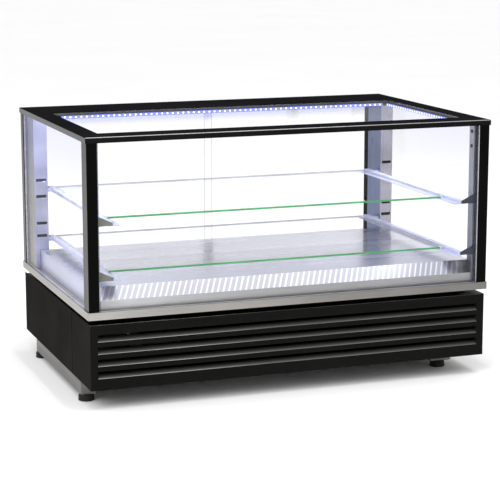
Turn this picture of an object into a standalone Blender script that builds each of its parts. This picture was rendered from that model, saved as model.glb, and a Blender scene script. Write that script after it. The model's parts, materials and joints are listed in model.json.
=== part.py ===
"""Countertop hot food display case: louvred base, stainless worktop, glass cabin, sliding rear doors.

Metres, +Z up, front towards -Y, origin on the ground under the middle of the case.
"""
import math

import bmesh
import bpy
from mathutils import Matrix, Vector

# ---------------------------------------------------------------- driving dimensions
WIDTH = 1.200               # worktop and top cap, left to right
DEPTH = 0.780               # worktop and top cap, front to rear
HEIGHT = 0.750              # ground to top cap

TOUCH = 0.0003              # gap left between two pieces that rest on each other
RUN = 0.0010                # gap around a sliding or turning piece
SHEET = 0.0012              # folded sheet metal

FOOT_RADIUS = 0.0225
FOOT_HEIGHT = 0.018
FOOT_LEFT_IN = 0.017        # foot centres in from the plinth's ends and its front and rear
FOOT_RIGHT_IN = 0.038
FOOT_END_IN = 0.011
FOOT_SHOULDER = 0.007       # tapered top of the foot
FOOT_NECK = 0.0195          # radius at the plinth
FOOT_EDGE = 0.002           # chamfer round the sole
PLINTH_HEIGHT = 0.038
PLINTH_FRONT_IN = 0.115     # plinth set back from the worktop's front
PLINTH_REAR_IN = 0.134
PLINTH_SETBACK = 0.090      # further set back between the front feet
PLINTH_PAST_FOOT = 0.027    # how far each front corner reaches past its foot's centre
PLINTH_RIGHT_IN = 0.050     # the plinth stops short on the right, where the mains lead enters

BASE_HEIGHT = 0.183
BASE_SIDE_IN = 0.006        # base set in from the worktop, each side
BASE_FRONT_IN = 0.006
BASE_REAR_IN = 0.001
COVER_RETURN = 0.200        # how far the front cover wraps round each side
SEAM = 0.0015               # open seam between front cover and side panel
SERVICE_RECESS = 0.022      # rear service panel set in from the side panels' rear edge

LOUVRE_COUNT = 4
LOUVRE_PITCH = 0.0342
LOUVRE_FIRST = 0.0325       # first lip above the base's underside
LOUVRE_OPEN = 0.0205        # height of each pressed opening
LOUVRE_END_IN = 0.021       # plain margin at each end
BLADE_DEPTH = 0.013
BLADE_RISE = 0.0115

NECK_HEIGHT = 0.015         # air gap between base and worktop
NECK_RAIL_WIDTH = 0.020
NECK_RAIL_IN = 0.045        # rail set back from the worktop's edge
NECK_RAIL_END_IN = 0.064
LID_HOLE_RADIUS = 0.010     # screw access holes in the lid's front corners
LID_HOLE_SIDE_IN = 0.050
LID_HOLE_FRONT_IN = 0.040
RIM_HEIGHT = 0.021          # folded edge of the worktop
RIM_ROUND = 0.002

POST_IN = 0.003             # posts and glass set in from the worktop's edge
POST_WIDTH = 0.030
POST_DEPTH = 0.050
REAR_POST_DEPTH = 0.030
POST_WALL = 0.002           # posts are square tubes
POST_ROUND = 0.0012
FRONT_GLASS_BACK = 0.0012   # front glass set back from the posts' front faces
GLASS = 0.006               # front, top and shelf glass
SIDE_GLASS = 0.0055
SIDE_GLASS_IN = 0.002       # side glass set in from the post's outer face

CAP_HEIGHT = 0.016
CAP_FRONT = 0.094           # widths of the cap's four beams, to the inner lip
CAP_SIDE = 0.068
CAP_REAR = 0.205
CAP_LIP = 0.012             # ledge that carries the top glass
CAP_WALL = 0.0012           # the cap's beams are folded hollow
CAP_WIDE_CUT = 0.010        # how far a beam's hollow is cut past its mitred ends
CAP_ROUND = 0.0018

LED_WIDE = 0.008
LED_THICK = 0.005
LED_END_IN = 0.012
LED_FRONT_BACK = 0.006      # front strip behind the uprights' front faces

UPRIGHT_THICK = 0.0078
UPRIGHT_DEEP = 0.029
PILLAR_WIDTH = 0.041
PILLAR_FRONT = 0.134        # pillar's slotted face, forward of the worktop's rear edge
SLOT_HEIGHT = 0.0085
SLOT_MARGIN = 0.005
SLOT_ABOVE_SHELF = 0.0295   # a pair of hook slots sits above and below each shelf
SLOT_BELOW_SHELF = -0.0195
SLOT_ABOVE_LOW = 0.0495
SLOT_BELOW_LOW = 0.0115
CATCH_HEIGHT = 0.328        # small upright catch slot in the pillar's inner side
CATCH_BACK = 0.033          # in from the pillar's rear edge
CATCH_SIZE = (0.0045, 0.019)

DECK_HEIGHT = 0.057         # heated deck above the worktop
DECK_FRONT_IN = 0.065
DECK_SIDE_IN = 0.025
DECK_REAR_IN = 0.140
KICK_HEIGHT = 0.0265
KICK_IN = 0.025
DRAIN_RADIUS = 0.004
DRAIN_SIDE_IN = 0.012
DRAIN_REAR_IN = 0.080

SHELF_LEVELS = {"upper": 0.2385, "lower": 0.0875}    # glass top above the worktop
SHELF_SIDE_IN = 0.084
SHELF_FRONT_IN = 0.125
SHELF_REAR_IN = 0.075
RAIL_WIDTH = 0.016
RAIL_PROUD = 0.002          # rail above the shelf glass
RAIL_UNDER = 0.0022         # ledge thickness under the glass
LEDGE_IN = 0.016            # ledge reach under the glass
GUSSET_THICK = 0.003
GUSSET_UP = 0.022
GUSSET_DOWN = 0.008
LUG_BACK = 0.006            # lug behind the pillar's slotted face
LUG_LENGTH = 0.022
EDGE_ROUND = 0.0012         # eased edges of shelf glass and grips

TRACK_BASE = 0.003
TRACK_FLANGE = 0.010
TRACK_TOP_FLANGE = 0.018
TRACK_WALL = 0.002
DOOR_GLASS = 0.005
DOOR_IN = 0.0055            # centre of the inner door behind the rear posts' inner faces
DOOR_LIFT = 0.006           # room in the upper track to lift a door out
DOOR_PITCH = 0.014          # inner to outer door, centre to centre
DOOR_OVERLAP = 0.020        # glass overlap at the middle
STILE_WIDTH = 0.0200
STILE_WALL = 0.0014
HANDLE_LENGTH = 0.140
HANDLE_WIDTH = 0.012
HANDLE_INNER = 0.0044       # the inner door's grip is slim, so that the outer door passes
HANDLE_OUTER = 0.0080

FAN_SIDE = 0.120
FAN_DEEP = 0.038
FAN_BORE = 0.0560
FAN_HUB = 0.024
FAN_HUB_ARMS = 3            # spokes that hold the motor
FAN_ARM_HALF = 0.0035
FAN_BLADE_HALF = 0.0045
FAN_TWIST = math.radians(22)
FAN_TIP_GAP = 0.0035
FAN_MOTOR_DEEP = 0.012
FAN_BLADES = 7
FAN_Y = -0.040

HEATER_TUBE = 0.004
HEATER_RUNS = 5
HEATER_PITCH = 0.048
HEATER_END_IN = 0.260       # element's ends in from the deck's ends
HEATER_LIFT = 0.028

KNOB_RADIUS = 0.019
KNOB_TOP_RADIUS = 0.0160
KNOB_DEEP = 0.016
KNOB_EDGE = 0.0015
KNOB_IN = 0.264             # centre in from the right side
RIDGE_WIDTH = 0.006         # finger ridge across the knob
RIDGE_HEIGHT = 0.003
RIDGE_LENGTH = 0.0266
SHAFT_RADIUS = 0.003
SHAFT_BORE_DEEP = 0.0105
THERMOSTAT = 0.042
SWITCH_IN = (0.174, 0.124)  # heat switch and light switch, in from the right side
ROCKER = (0.012, 0.006, 0.022)
ROCKER_DISH = 0.0015
ROCKER_TILT = math.radians(8.0)
CONTROL_Z = 0.115           # controls above the base's underside
GLAND_IN = 0.049            # centre in from the right side
GLAND_RADIUS = 0.012
GLAND_NECK = 0.0084
GLAND_TIP = 0.0090
GLAND_BORE = 0.0045
GLAND_BEHIND = 0.010        # threaded end inside the panel
GLAND_NUT = 0.009
GLAND_LENGTH = 0.017
GLAND_Z = 0.032
VENT_COUNT = 12
VENT_SIDE_IN = 0.090        # first vent in from the left side
VENT_LIFT = 0.055           # vents above the base's underside
VENT_PITCH = 0.020
VENT_SIZE = (0.006, 0.070)
DRIVER = (0.160, 0.060, 0.036)
DRIVER_IN = 0.234           # in from the left side
DRIVER_Y = 0.050
DRIVER_ROUND = 0.002

ROUND = 40                  # sides of a round piece

# ---------------------------------------------------------------- levels worked out from them
HALF_W = WIDTH / 2
HALF_D = DEPTH / 2
FRONT = -HALF_D
REAR = HALF_D
BASE_Z = FOOT_HEIGHT + PLINTH_HEIGHT
BASE_TOP = BASE_Z + BASE_HEIGHT
RIM_Z = BASE_TOP + NECK_HEIGHT
WORK_Z = RIM_Z + RIM_HEIGHT
CAP_Z = HEIGHT - CAP_HEIGHT
BASE_HALF = HALF_W - BASE_SIDE_IN
BASE_FRONT = FRONT + BASE_FRONT_IN
BASE_REAR = REAR - BASE_REAR_IN
POST_OUT = HALF_W - POST_IN
POST_INNER = POST_OUT - POST_WIDTH
POST_FRONT = FRONT + POST_IN
POST_REAR = REAR - POST_IN
GLASS_Z0 = WORK_Z + TOUCH
GLASS_Z1 = CAP_Z - TOUCH
FRONT_GLASS_IN = POST_FRONT + FRONT_GLASS_BACK + GLASS
UPRIGHT_IN = POST_INNER - TOUCH - UPRIGHT_THICK
UPRIGHT_BACK = POST_FRONT + POST_DEPTH
UPRIGHT_FRONT = UPRIGHT_BACK - UPRIGHT_DEEP
SIDE_GLASS_OUT = POST_OUT - SIDE_GLASS_IN
SIDE_GLASS_INNER = SIDE_GLASS_OUT - SIDE_GLASS
PILLAR_OUT = SIDE_GLASS_INNER - TOUCH
PILLAR_IN = PILLAR_OUT - PILLAR_WIDTH
PILLAR_Y0 = REAR - PILLAR_FRONT
PILLAR_Y1 = POST_REAR - REAR_POST_DEPTH - TOUCH
DECK_HALF = HALF_W - DECK_SIDE_IN
DECK_FRONT = FRONT + DECK_FRONT_IN
DECK_REAR = REAR - DECK_REAR_IN
DECK_TOP = WORK_Z + DECK_HEIGHT
LIP_X = HALF_W - CAP_SIDE
LIP_Y0 = FRONT + CAP_FRONT
LIP_Y1 = REAR - CAP_REAR
SERVICE_Y = BASE_REAR - SERVICE_RECESS
DOOR_Y = {"left": POST_REAR - REAR_POST_DEPTH + DOOR_IN}
DOOR_Y["right"] = DOOR_Y["left"] + DOOR_PITCH
TRACK_Y0 = POST_REAR - REAR_POST_DEPTH + TOUCH
TRACK_Y1 = DOOR_Y["right"] + DOOR_PITCH / 2 + TRACK_WALL
TRACK_HALF = POST_INNER - TOUCH * 2
FAN_X = 0.0
SHELF_HALF = HALF_W - SHELF_SIDE_IN
CONTROL_LEVEL = BASE_Z + CONTROL_Z
KNOB_X = BASE_HALF - KNOB_IN
SWITCH_X = [BASE_HALF - inset for inset in SWITCH_IN]
GLAND_X = BASE_HALF - GLAND_IN

for scene_object in list(bpy.data.objects):
    bpy.data.objects.remove(scene_object, do_unlink=True)


# ---------------------------------------------------------------- materials
def material(name, colour, roughness, metallic=0.0, alpha=1.0):
    made = bpy.data.materials.new(name)
    made.use_nodes = True
    shader = made.node_tree.nodes["Principled BSDF"]
    shader.inputs["Base Color"].default_value = (*colour, 1.0)
    shader.inputs["Roughness"].default_value = roughness
    shader.inputs["Metallic"].default_value = metallic
    shader.inputs["Alpha"].default_value = alpha
    made.diffuse_color = (*colour, alpha)
    return made


STEEL = material("brushed stainless", (0.62, 0.61, 0.60), 0.30, 1.0)
BRIGHT = material("polished stainless", (0.72, 0.72, 0.74), 0.18, 1.0)
BLACK = material("black powder coat", (0.012, 0.012, 0.013), 0.42)
CHARCOAL = material("charcoal side panel", (0.028, 0.027, 0.026), 0.48)
CAP_BLACK = material("satin black cap", (0.016, 0.016, 0.018), 0.33)
PLINTH_GREY = material("plain steel plinth", (0.30, 0.28, 0.26), 0.40, 1.0)
RUBBER = material("black rubber", (0.015, 0.015, 0.015), 0.75)
CLEAR = material("clear glass", (0.86, 0.93, 0.90), 0.02, 0.0, 0.25)
DIFFUSER = material("lamp diffuser", (0.92, 0.93, 1.00), 0.40)
PLASTIC = material("black plastic", (0.020, 0.020, 0.022), 0.50)
SLATE = material("slate bracket", (0.060, 0.070, 0.110), 0.45)
ELEMENT = material("heater sheath", (0.20, 0.18, 0.16), 0.50, 1.0)


# ---------------------------------------------------------------- modelling tools
def finish(name, mesh_data, paint, origin=(0.0, 0.0, 0.0), smooth_angle=None):
    """Turn a bmesh into an object whose origin is at the given point."""
    bmesh.ops.recalc_face_normals(mesh_data, faces=mesh_data.faces)
    bmesh.ops.translate(mesh_data, verts=mesh_data.verts, vec=-Vector(origin))
    mesh = bpy.data.meshes.new(name)
    mesh_data.to_mesh(mesh)
    mesh_data.free()
    mesh.materials.append(paint)
    if smooth_angle is not None:
        mesh.shade_smooth()
        mesh.set_sharp_from_angle(angle=math.radians(smooth_angle))
    made = bpy.data.objects.new(name, mesh)
    made.location = origin
    bpy.context.scene.collection.objects.link(made)
    return made


def add_box(mesh_data, low, high):
    centre = (Vector(low) + Vector(high)) / 2
    size = Vector(high) - Vector(low)
    place = Matrix.Translation(centre) @ Matrix.Diagonal((*size, 1.0))
    bmesh.ops.create_cube(mesh_data, size=1.0, matrix=place)


def box(name, low, high, paint, bevel=0.0, origin=(0.0, 0.0, 0.0)):
    mesh_data = bmesh.new()
    add_box(mesh_data, low, high)
    made = finish(name, mesh_data, paint, origin)
    if bevel > 0.0:
        edge = made.modifiers.new("edge", "BEVEL")
        edge.width = bevel
        edge.segments = 2
        edge.limit_method = "ANGLE"
    return made


AXES = {
    "x": lambda along, u, v: Vector((along, u, v)),
    "y": lambda along, u, v: Vector((u, along, v)),
    "z": lambda along, u, v: Vector((u, v, along)),
}


def add_prism(mesh_data, outline, axis, start, end, twist=0.0):
    """Extrude an outline along an axis, and turn its far end by twist about the middle."""
    place = AXES[axis]
    turn = Matrix.Rotation(twist, 2)
    near = [mesh_data.verts.new(place(start, u, v)) for u, v in outline]
    far = []
    for u, v in outline:
        turned = turn @ Vector((u, v))
        far.append(mesh_data.verts.new(place(end, turned.x, turned.y)))
    mesh_data.faces.new(near)
    mesh_data.faces.new(far)
    count = len(outline)
    for i in range(count):
        j = (i + 1) % count
        mesh_data.faces.new((near[i], near[j], far[j], far[i]))


def prism(name, outline, axis, start, end, paint, smooth_angle=None, origin=(0.0, 0.0, 0.0), twist=0.0):
    mesh_data = bmesh.new()
    add_prism(mesh_data, outline, axis, start, end, twist)
    return finish(name, mesh_data, paint, origin, smooth_angle)


def rounded(outline, radius, steps=3):
    """Replace each square corner of an outline with a short arc."""
    points = []
    count = len(outline)
    for i in range(count):
        here = Vector(outline[i])
        before = (Vector(outline[i - 1]) - here).normalized()
        after = (Vector(outline[(i + 1) % count]) - here).normalized()
        half_angle = before.angle(after) / 2
        centre = here + (before + after).normalized() * (radius / math.sin(half_angle))
        reach = radius / math.tan(half_angle)
        first = here + before * reach - centre
        last = here + after * reach - centre
        sweep = first.angle_signed(last)
        for step in range(steps + 1):
            points.append(centre + Matrix.Rotation(-sweep * step / steps, 2) @ first)
    return [(point.x, point.y) for point in points]


def rectangle(low_u, low_v, high_u, high_v):
    return [(low_u, low_v), (high_u, low_v), (high_u, high_v), (low_u, high_v)]


def circle(centre_u, centre_v, radius, sides=ROUND):
    step = 2 * math.pi / sides
    return [(centre_u + radius * math.cos(i * step), centre_v + radius * math.sin(i * step))
            for i in range(sides)]


def spoked(hub_radius, tip_radius, arms, half_width, hub_steps=3):
    """Outline of a hub with straight radial arms, for a fan's rotor and its motor spider."""
    points = []
    root = math.asin(half_width / hub_radius)
    tip = math.asin(half_width / tip_radius)
    for arm in range(arms):
        middle = 2 * math.pi * arm / arms
        for radius, angle in ((hub_radius, -root), (tip_radius, -tip), (tip_radius, tip),
                              (hub_radius, root)):
            points.append((radius * math.cos(middle + angle), radius * math.sin(middle + angle)))
        gap = 2 * math.pi / arms - 2 * root
        for step in range(1, hub_steps):
            angle = middle + root + gap * step / hub_steps
            points.append((hub_radius * math.cos(angle), hub_radius * math.sin(angle)))
    return points


def turned(name, outline, axis, centre, paint, origin=(0.0, 0.0, 0.0), smooth_angle=35, sides=ROUND):
    """Turn a profile of (radius, height) points about an axis through centre."""
    mesh_data = bmesh.new()
    rings = []
    place = AXES[axis]
    centre = Vector(centre)
    for radius, along in outline:
        if radius == 0.0:
            rings.append([mesh_data.verts.new(centre + place(along, 0.0, 0.0))])
            continue
        ring = []
        for u, v in circle(0.0, 0.0, radius, sides):
            ring.append(mesh_data.verts.new(centre + place(along, u, v)))
        rings.append(ring)
    is_ring = all(radius > 0.0 for radius, along in outline)
    pairs = list(zip(rings, rings[1:]))
    if is_ring:
        pairs.append((rings[-1], rings[0]))
    for lower, upper in pairs:
        for i in range(sides):
            j = (i + 1) % sides
            corners = [lower[i % len(lower)], lower[j % len(lower)],
                       upper[j % len(upper)], upper[i % len(upper)]]
            corners = list(dict.fromkeys(corners))
            mesh_data.faces.new(corners)
    return finish(name, mesh_data, paint, origin, smooth_angle)


def combine(target, operation, tool):
    """Cut with, or join on, a tool body that the finished part leaves out."""
    tool.hide_render = True
    tool.display_type = "WIRE"
    step = target.modifiers.new(operation.lower(), "BOOLEAN")
    step.operation = operation
    step.solver = "EXACT"
    step.object = tool
    return target


def cut_boxes(target, label, boxes):
    mesh_data = bmesh.new()
    for low, high in boxes:
        add_box(mesh_data, low, high)
    tool = finish(target.name + "_" + label, mesh_data, target.data.materials[0])
    return combine(target, "DIFFERENCE", tool)


def cut_prisms(target, label, axis, prisms):
    mesh_data = bmesh.new()
    for outline, start, end in prisms:
        add_prism(mesh_data, outline, axis, start, end)
    tool = finish(target.name + "_" + label, mesh_data, target.data.materials[0])
    return combine(target, "DIFFERENCE", tool)


def join_prisms(target, label, axis, prisms):
    mesh_data = bmesh.new()
    for outline, start, end in prisms:
        add_prism(mesh_data, outline, axis, start, end)
    tool = finish(target.name + "_" + label, mesh_data, target.data.materials[0])
    return combine(target, "UNION", tool)


SIDES = (("left", -1.0), ("right", 1.0))


def span(side, inner, outer):
    """Low and high x of a piece that lies between two distances from the middle."""
    return (inner, outer) if side > 0 else (-outer, -inner)


# ---------------------------------------------------------------- feet and plinth
def make_feet():
    plinth_x0 = -BASE_HALF + TOUCH
    plinth_x1 = BASE_HALF - PLINTH_RIGHT_IN
    y_front = FRONT + PLINTH_FRONT_IN + FOOT_END_IN
    y_rear = REAR - PLINTH_REAR_IN - FOOT_END_IN
    profile = [(0.0, 0.0), (FOOT_RADIUS - FOOT_EDGE, 0.0), (FOOT_RADIUS, FOOT_EDGE),
               (FOOT_RADIUS, FOOT_HEIGHT - FOOT_SHOULDER), (FOOT_NECK, FOOT_HEIGHT), (0.0, FOOT_HEIGHT)]
    columns = (("left", plinth_x0 + FOOT_LEFT_IN), ("right", plinth_x1 - FOOT_RIGHT_IN))
    for row, y in (("front", y_front), ("rear", y_rear)):
        for column, x in columns:
            turned("foot_" + row + "_" + column, profile, "z", (x, y, 0.0), RUBBER)


def plinth_outline(wall):
    """Plan of the plinth, or of its inside a wall further in: the front is set back between the feet."""
    x0 = -BASE_HALF + TOUCH
    x1 = BASE_HALF - PLINTH_RIGHT_IN
    y0 = FRONT + PLINTH_FRONT_IN
    y1 = REAR - PLINTH_REAR_IN
    left = x0 + FOOT_LEFT_IN + PLINTH_PAST_FOOT
    right = x1 - FOOT_RIGHT_IN - PLINTH_PAST_FOOT
    back = y0 + PLINTH_SETBACK
    return [(x0 + wall, y0 + wall), (left - wall, y0 + wall), (left - wall, back + wall),
            (right + wall, back + wall), (right + wall, y0 + wall), (x1 - wall, y0 + wall),
            (x1 - wall, y1 - wall), (x0 + wall, y1 - wall)]


def make_plinth():
    bottom = FOOT_HEIGHT + TOUCH
    top = BASE_Z - TOUCH
    plinth = prism("chassis_plinth", plinth_outline(0.0), "z", bottom, top, PLINTH_GREY)
    cut_prisms(plinth, "hollow", "z", [(plinth_outline(SHEET), bottom + SHEET, top + SHEET)])


# ---------------------------------------------------------------- base casing
def make_front_cover():
    y_end = BASE_FRONT + COVER_RETURN
    inner = BASE_HALF - SHEET
    outline = [(-BASE_HALF, BASE_FRONT), (BASE_HALF, BASE_FRONT), (BASE_HALF, y_end), (inner, y_end),
               (inner, BASE_FRONT + SHEET), (-inner, BASE_FRONT + SHEET), (-inner, y_end),
               (-BASE_HALF, y_end)]
    cover = prism("front_louvre_cover", outline, "z", BASE_Z, BASE_TOP, BLACK)
    half = BASE_HALF - LOUVRE_END_IN
    slots = []
    blades = []
    cheeks = []
    for i in range(LOUVRE_COUNT):
        low = BASE_Z + LOUVRE_FIRST + i * LOUVRE_PITCH
        high = low + LOUVRE_OPEN
        slots.append(((-half, BASE_FRONT - SHEET, low), (half, BASE_FRONT + 2 * SHEET, high)))
        tip_y = BASE_FRONT + BLADE_DEPTH
        tip_z = low + BLADE_RISE
        blade = [(BASE_FRONT, low - SHEET), (BASE_FRONT + SHEET, low - SHEET), (tip_y, tip_z - SHEET),
                 (tip_y, tip_z), (BASE_FRONT, low + TOUCH)]
        blades.append((blade, -half - SHEET, half + SHEET))
        cheek = [(BASE_FRONT + SHEET / 2, low - SHEET / 2), (tip_y - SHEET / 2, tip_z - SHEET / 2),
                 (BASE_FRONT + SHEET / 2, high + SHEET)]
        cheeks.append((cheek, -half - SHEET / 2, -half + SHEET / 2))
        cheeks.append((cheek, half - SHEET / 2, half + SHEET / 2))
    cut_boxes(cover, "slots", slots)
    join_prisms(cover, "blades", "x", blades)
    join_prisms(cover, "cheeks", "x", cheeks)


def make_side_panels():
    for name, side in SIDES:
        x0, x1 = span(side, BASE_HALF - SHEET, BASE_HALF)
        low = (x0, BASE_FRONT + COVER_RETURN + SEAM, BASE_Z)
        box("side_panel_" + name, low, (x1, BASE_REAR, BASE_TOP), CHARCOAL)


def vent_boxes(y0, y1):
    boxes = []
    for i in range(VENT_COUNT):
        x = -BASE_HALF + VENT_SIDE_IN + i * VENT_PITCH
        z = BASE_Z + VENT_LIFT
        boxes.append(((x, y0, z), (x + VENT_SIZE[0], y1, z + VENT_SIZE[1])))
    return boxes


def make_rear_panel():
    half = BASE_HALF - SHEET - TOUCH
    panel = box("rear_service_panel", (-half, SERVICE_Y - SHEET, BASE_Z), (half, SERVICE_Y, BASE_TOP), BLACK)
    y0 = SERVICE_Y - 3 * SHEET
    y1 = SERVICE_Y + 2 * SHEET
    holes = vent_boxes(y0, y1)
    for x in SWITCH_X:
        half_x = ROCKER[0] / 2 + RUN
        half_z = ROCKER[2] / 2 + 1.5 * RUN
        holes.append(((x - half_x, y0, CONTROL_LEVEL - half_z), (x + half_x, y1, CONTROL_LEVEL + half_z)))
    cut_boxes(panel, "openings", holes)
    rounds = [(circle(KNOB_X, CONTROL_LEVEL, SHAFT_RADIUS + RUN), y0, y1),
              (circle(GLAND_X, BASE_Z + GLAND_Z, GLAND_NECK + TOUCH), y0, y1)]
    cut_prisms(panel, "holes", "y", rounds)


def make_floor_and_lid():
    half = BASE_HALF - SHEET - TOUCH
    y0 = BASE_FRONT + SHEET + TOUCH
    y1 = SERVICE_Y - SHEET - TOUCH
    box("base_floor", (-half, y0, BASE_Z), (half, y1, BASE_Z + SHEET), STEEL)
    lid = box("base_lid", (-half, y0, BASE_TOP - SHEET - TOUCH), (half, y1, BASE_TOP - TOUCH), BLACK)
    top = BASE_TOP + SHEET
    low = BASE_TOP - 3 * SHEET
    hole_x = BASE_HALF - LID_HOLE_SIDE_IN
    holes = [(circle(FAN_X, FAN_Y, FAN_BORE), low, top)]
    for x in (-hole_x, hole_x):
        holes.append((circle(x, BASE_FRONT + LID_HOLE_FRONT_IN, LID_HOLE_RADIUS), low, top))
    cut_prisms(lid, "holes", "z", holes)


# ---------------------------------------------------------------- neck, worktop and deck
def make_neck():
    """Two folded channels that stand on the base and run up inside the worktop to carry it."""
    half = HALF_W - NECK_RAIL_END_IN
    top = WORK_Z - SHEET - TOUCH
    for name, edge in (("front", FRONT + NECK_RAIL_IN), ("rear", REAR - NECK_RAIL_IN)):
        back = edge + math.copysign(NECK_RAIL_WIDTH, -edge)
        wall = edge + math.copysign(SHEET, -edge)
        section = [(edge, BASE_TOP), (back, BASE_TOP), (back, BASE_TOP + SHEET), (wall, BASE_TOP + SHEET),
                   (wall, top - SHEET), (back, top - SHEET), (back, top), (edge, top)]
        prism("neck_rail_" + name, section, "x", -half, half, BLACK)


def make_worktop():
    outline = rounded(rectangle(-HALF_W, FRONT, HALF_W, REAR), RIM_ROUND)
    worktop = prism("stainless_worktop", outline, "z", RIM_Z, WORK_Z, STEEL, 30)
    low = (-HALF_W + SHEET, FRONT + SHEET, RIM_Z - SHEET)
    high = (HALF_W - SHEET, REAR - SHEET, WORK_Z - SHEET)
    cut_boxes(worktop, "underside", [(low, high)])
    duct = circle(FAN_X, FAN_Y, FAN_BORE)
    cut_prisms(worktop, "duct", "z", [(duct, WORK_Z - 3 * SHEET, WORK_Z + SHEET)])


def make_deck():
    low = (-DECK_HALF, DECK_FRONT, WORK_Z + TOUCH)
    high = (DECK_HALF, DECK_REAR, DECK_TOP)
    deck = box("heated_deck", low, high, BRIGHT)
    inner_low = (low[0] + SHEET, low[1] - SHEET, low[2] - SHEET)
    inner_high = (high[0] - SHEET, high[1] - SHEET, high[2] - SHEET)
    cut_boxes(deck, "hollow", [(inner_low, inner_high)])
    drain = circle(-DECK_HALF + DRAIN_SIDE_IN, DECK_REAR - DRAIN_REAR_IN, DRAIN_RADIUS, 16)
    cut_prisms(deck, "drain", "z", [(drain, DECK_TOP - 3 * SHEET, DECK_TOP + SHEET)])


def make_riser():
    """One folded sheet: an upright kick strip behind the front glass, then a slope up to the deck."""
    half = UPRIGHT_IN - TOUCH * 2
    y0 = FRONT + KICK_IN - SHEET
    y1 = DECK_FRONT - TOUCH
    z0 = WORK_Z + TOUCH
    fold = WORK_Z + KICK_HEIGHT
    section = [(y0, z0), (y0 + SHEET, z0), (y0 + SHEET, fold - SHEET / 3), (y1, DECK_TOP - SHEET),
               (y1, DECK_TOP), (y1 - SHEET / 3, DECK_TOP), (y0, fold)]
    prism("front_riser", section, "x", -half, half, BRIGHT)


# ---------------------------------------------------------------- posts, pillars and uprights
def tube_post(name, x0, x1, y0, y1):
    outline = rounded(rectangle(x0, y0, x1, y1), POST_ROUND)
    post = prism(name, outline, "z", GLASS_Z0, GLASS_Z1, BLACK, 30)
    low = (x0 + POST_WALL, y0 + POST_WALL, GLASS_Z0 - POST_WALL)
    cut_boxes(post, "tube", [(low, (x1 - POST_WALL, y1 - POST_WALL, GLASS_Z1 + POST_WALL))])


def make_posts():
    for name, side in SIDES:
        x0, x1 = span(side, POST_INNER, POST_OUT)
        tube_post("front_post_" + name, x0, x1, POST_FRONT, POST_FRONT + POST_DEPTH)
        tube_post("rear_post_" + name, x0, x1, POST_REAR - REAR_POST_DEPTH, POST_REAR)
        x0, x1 = span(side, UPRIGHT_IN, UPRIGHT_IN + UPRIGHT_THICK)
        box("front_upright_" + name, (x0, UPRIGHT_FRONT, GLASS_Z0), (x1, UPRIGHT_BACK, GLASS_Z1), STEEL)


def slot_levels():
    upper = WORK_Z + SHELF_LEVELS["upper"]
    lower = WORK_Z + SHELF_LEVELS["lower"]
    return (upper + SLOT_ABOVE_SHELF, upper + SLOT_BELOW_SHELF,
            lower + SLOT_ABOVE_LOW, lower + SLOT_BELOW_LOW)


def make_pillars():
    for name, side in SIDES:
        x0, x1 = span(side, PILLAR_IN, PILLAR_OUT)
        pillar = box("slotted_pillar_" + name, (x0, PILLAR_Y0, GLASS_Z0), (x1, PILLAR_Y1, GLASS_Z1), STEEL)
        hollow_low = (x0 + SHEET, PILLAR_Y0 + SHEET, GLASS_Z0 - SHEET)
        hollow_high = (x1 - SHEET, PILLAR_Y1 - SHEET, GLASS_Z1 + SHEET)
        cut_boxes(pillar, "hollow", [(hollow_low, hollow_high)])
        slots = []
        for z in slot_levels():
            low = (x0 + SLOT_MARGIN, PILLAR_Y0 - SHEET, z - SLOT_HEIGHT / 2)
            slots.append((low, (x1 - SLOT_MARGIN, PILLAR_Y0 + 3 * SHEET, z + SLOT_HEIGHT / 2)))
        inner_x0, inner_x1 = span(side, PILLAR_IN - SHEET, PILLAR_IN + 3 * SHEET)
        catch_y = PILLAR_Y1 - CATCH_BACK
        catch_z = WORK_Z + CATCH_HEIGHT
        slots.append(((inner_x0, catch_y - CATCH_SIZE[0] / 2, catch_z - CATCH_SIZE[1] / 2),
                      (inner_x1, catch_y + CATCH_SIZE[0] / 2, catch_z + CATCH_SIZE[1] / 2)))
        cut_boxes(pillar, "slots", slots)


# ---------------------------------------------------------------- cap and glass
def cap_profile(width):
    """Section of a beam, run round in one direction: outer face, top, rebate, lip, underside."""
    lip_top = HEIGHT - GLASS - 2 * TOUCH
    rebate = width - CAP_LIP
    round_top = []
    round_low = []
    for step in range(4):
        angle = math.pi / 2 * step / 3
        drop = CAP_ROUND * (1 - math.sin(angle))
        shift = CAP_ROUND * (1 - math.cos(angle))
        round_top.append((shift, HEIGHT - drop))
        round_low.append((shift, CAP_Z + drop))
    inner_side = [(rebate, HEIGHT), (rebate, lip_top), (width, lip_top), (width, CAP_Z)]
    return round_low[::-1] + round_top + inner_side


def cap_hollow(width):
    """Section of the space inside a beam."""
    wall = CAP_WALL
    lip_top = HEIGHT - GLASS - 2 * TOUCH - wall
    rebate = width - CAP_LIP - wall
    return [(wall + CAP_ROUND, CAP_Z + wall), (wall, CAP_Z + wall + CAP_ROUND),
            (wall, HEIGHT - wall - CAP_ROUND), (wall + CAP_ROUND, HEIGHT - wall),
            (rebate, HEIGHT - wall), (rebate, lip_top),
            (width - wall, lip_top), (width - wall, CAP_Z + wall)]


def mitred(name, profile, corner, directions, length, ratios, over=0.0):
    """Sweep a profile of (inward, height) points along one side, with both ends cut to a mitre."""
    mesh_data = bmesh.new()
    along, inward = (Vector(direction) for direction in directions)
    near = []
    far = []
    for depth, z in profile:
        base = Vector(corner) + inward * depth + Vector((0.0, 0.0, z))
        near.append(mesh_data.verts.new(base + along * (depth * ratios[0] - over)))
        far.append(mesh_data.verts.new(base + along * (length - depth * ratios[1] + over)))
    mesh_data.faces.new(near)
    mesh_data.faces.new(far)
    for i in range(len(profile)):
        j = (i + 1) % len(profile)
        mesh_data.faces.new((near[i], near[j], far[j], far[i]))
    return finish(name, mesh_data, CAP_BLACK, smooth_angle=30)


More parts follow.
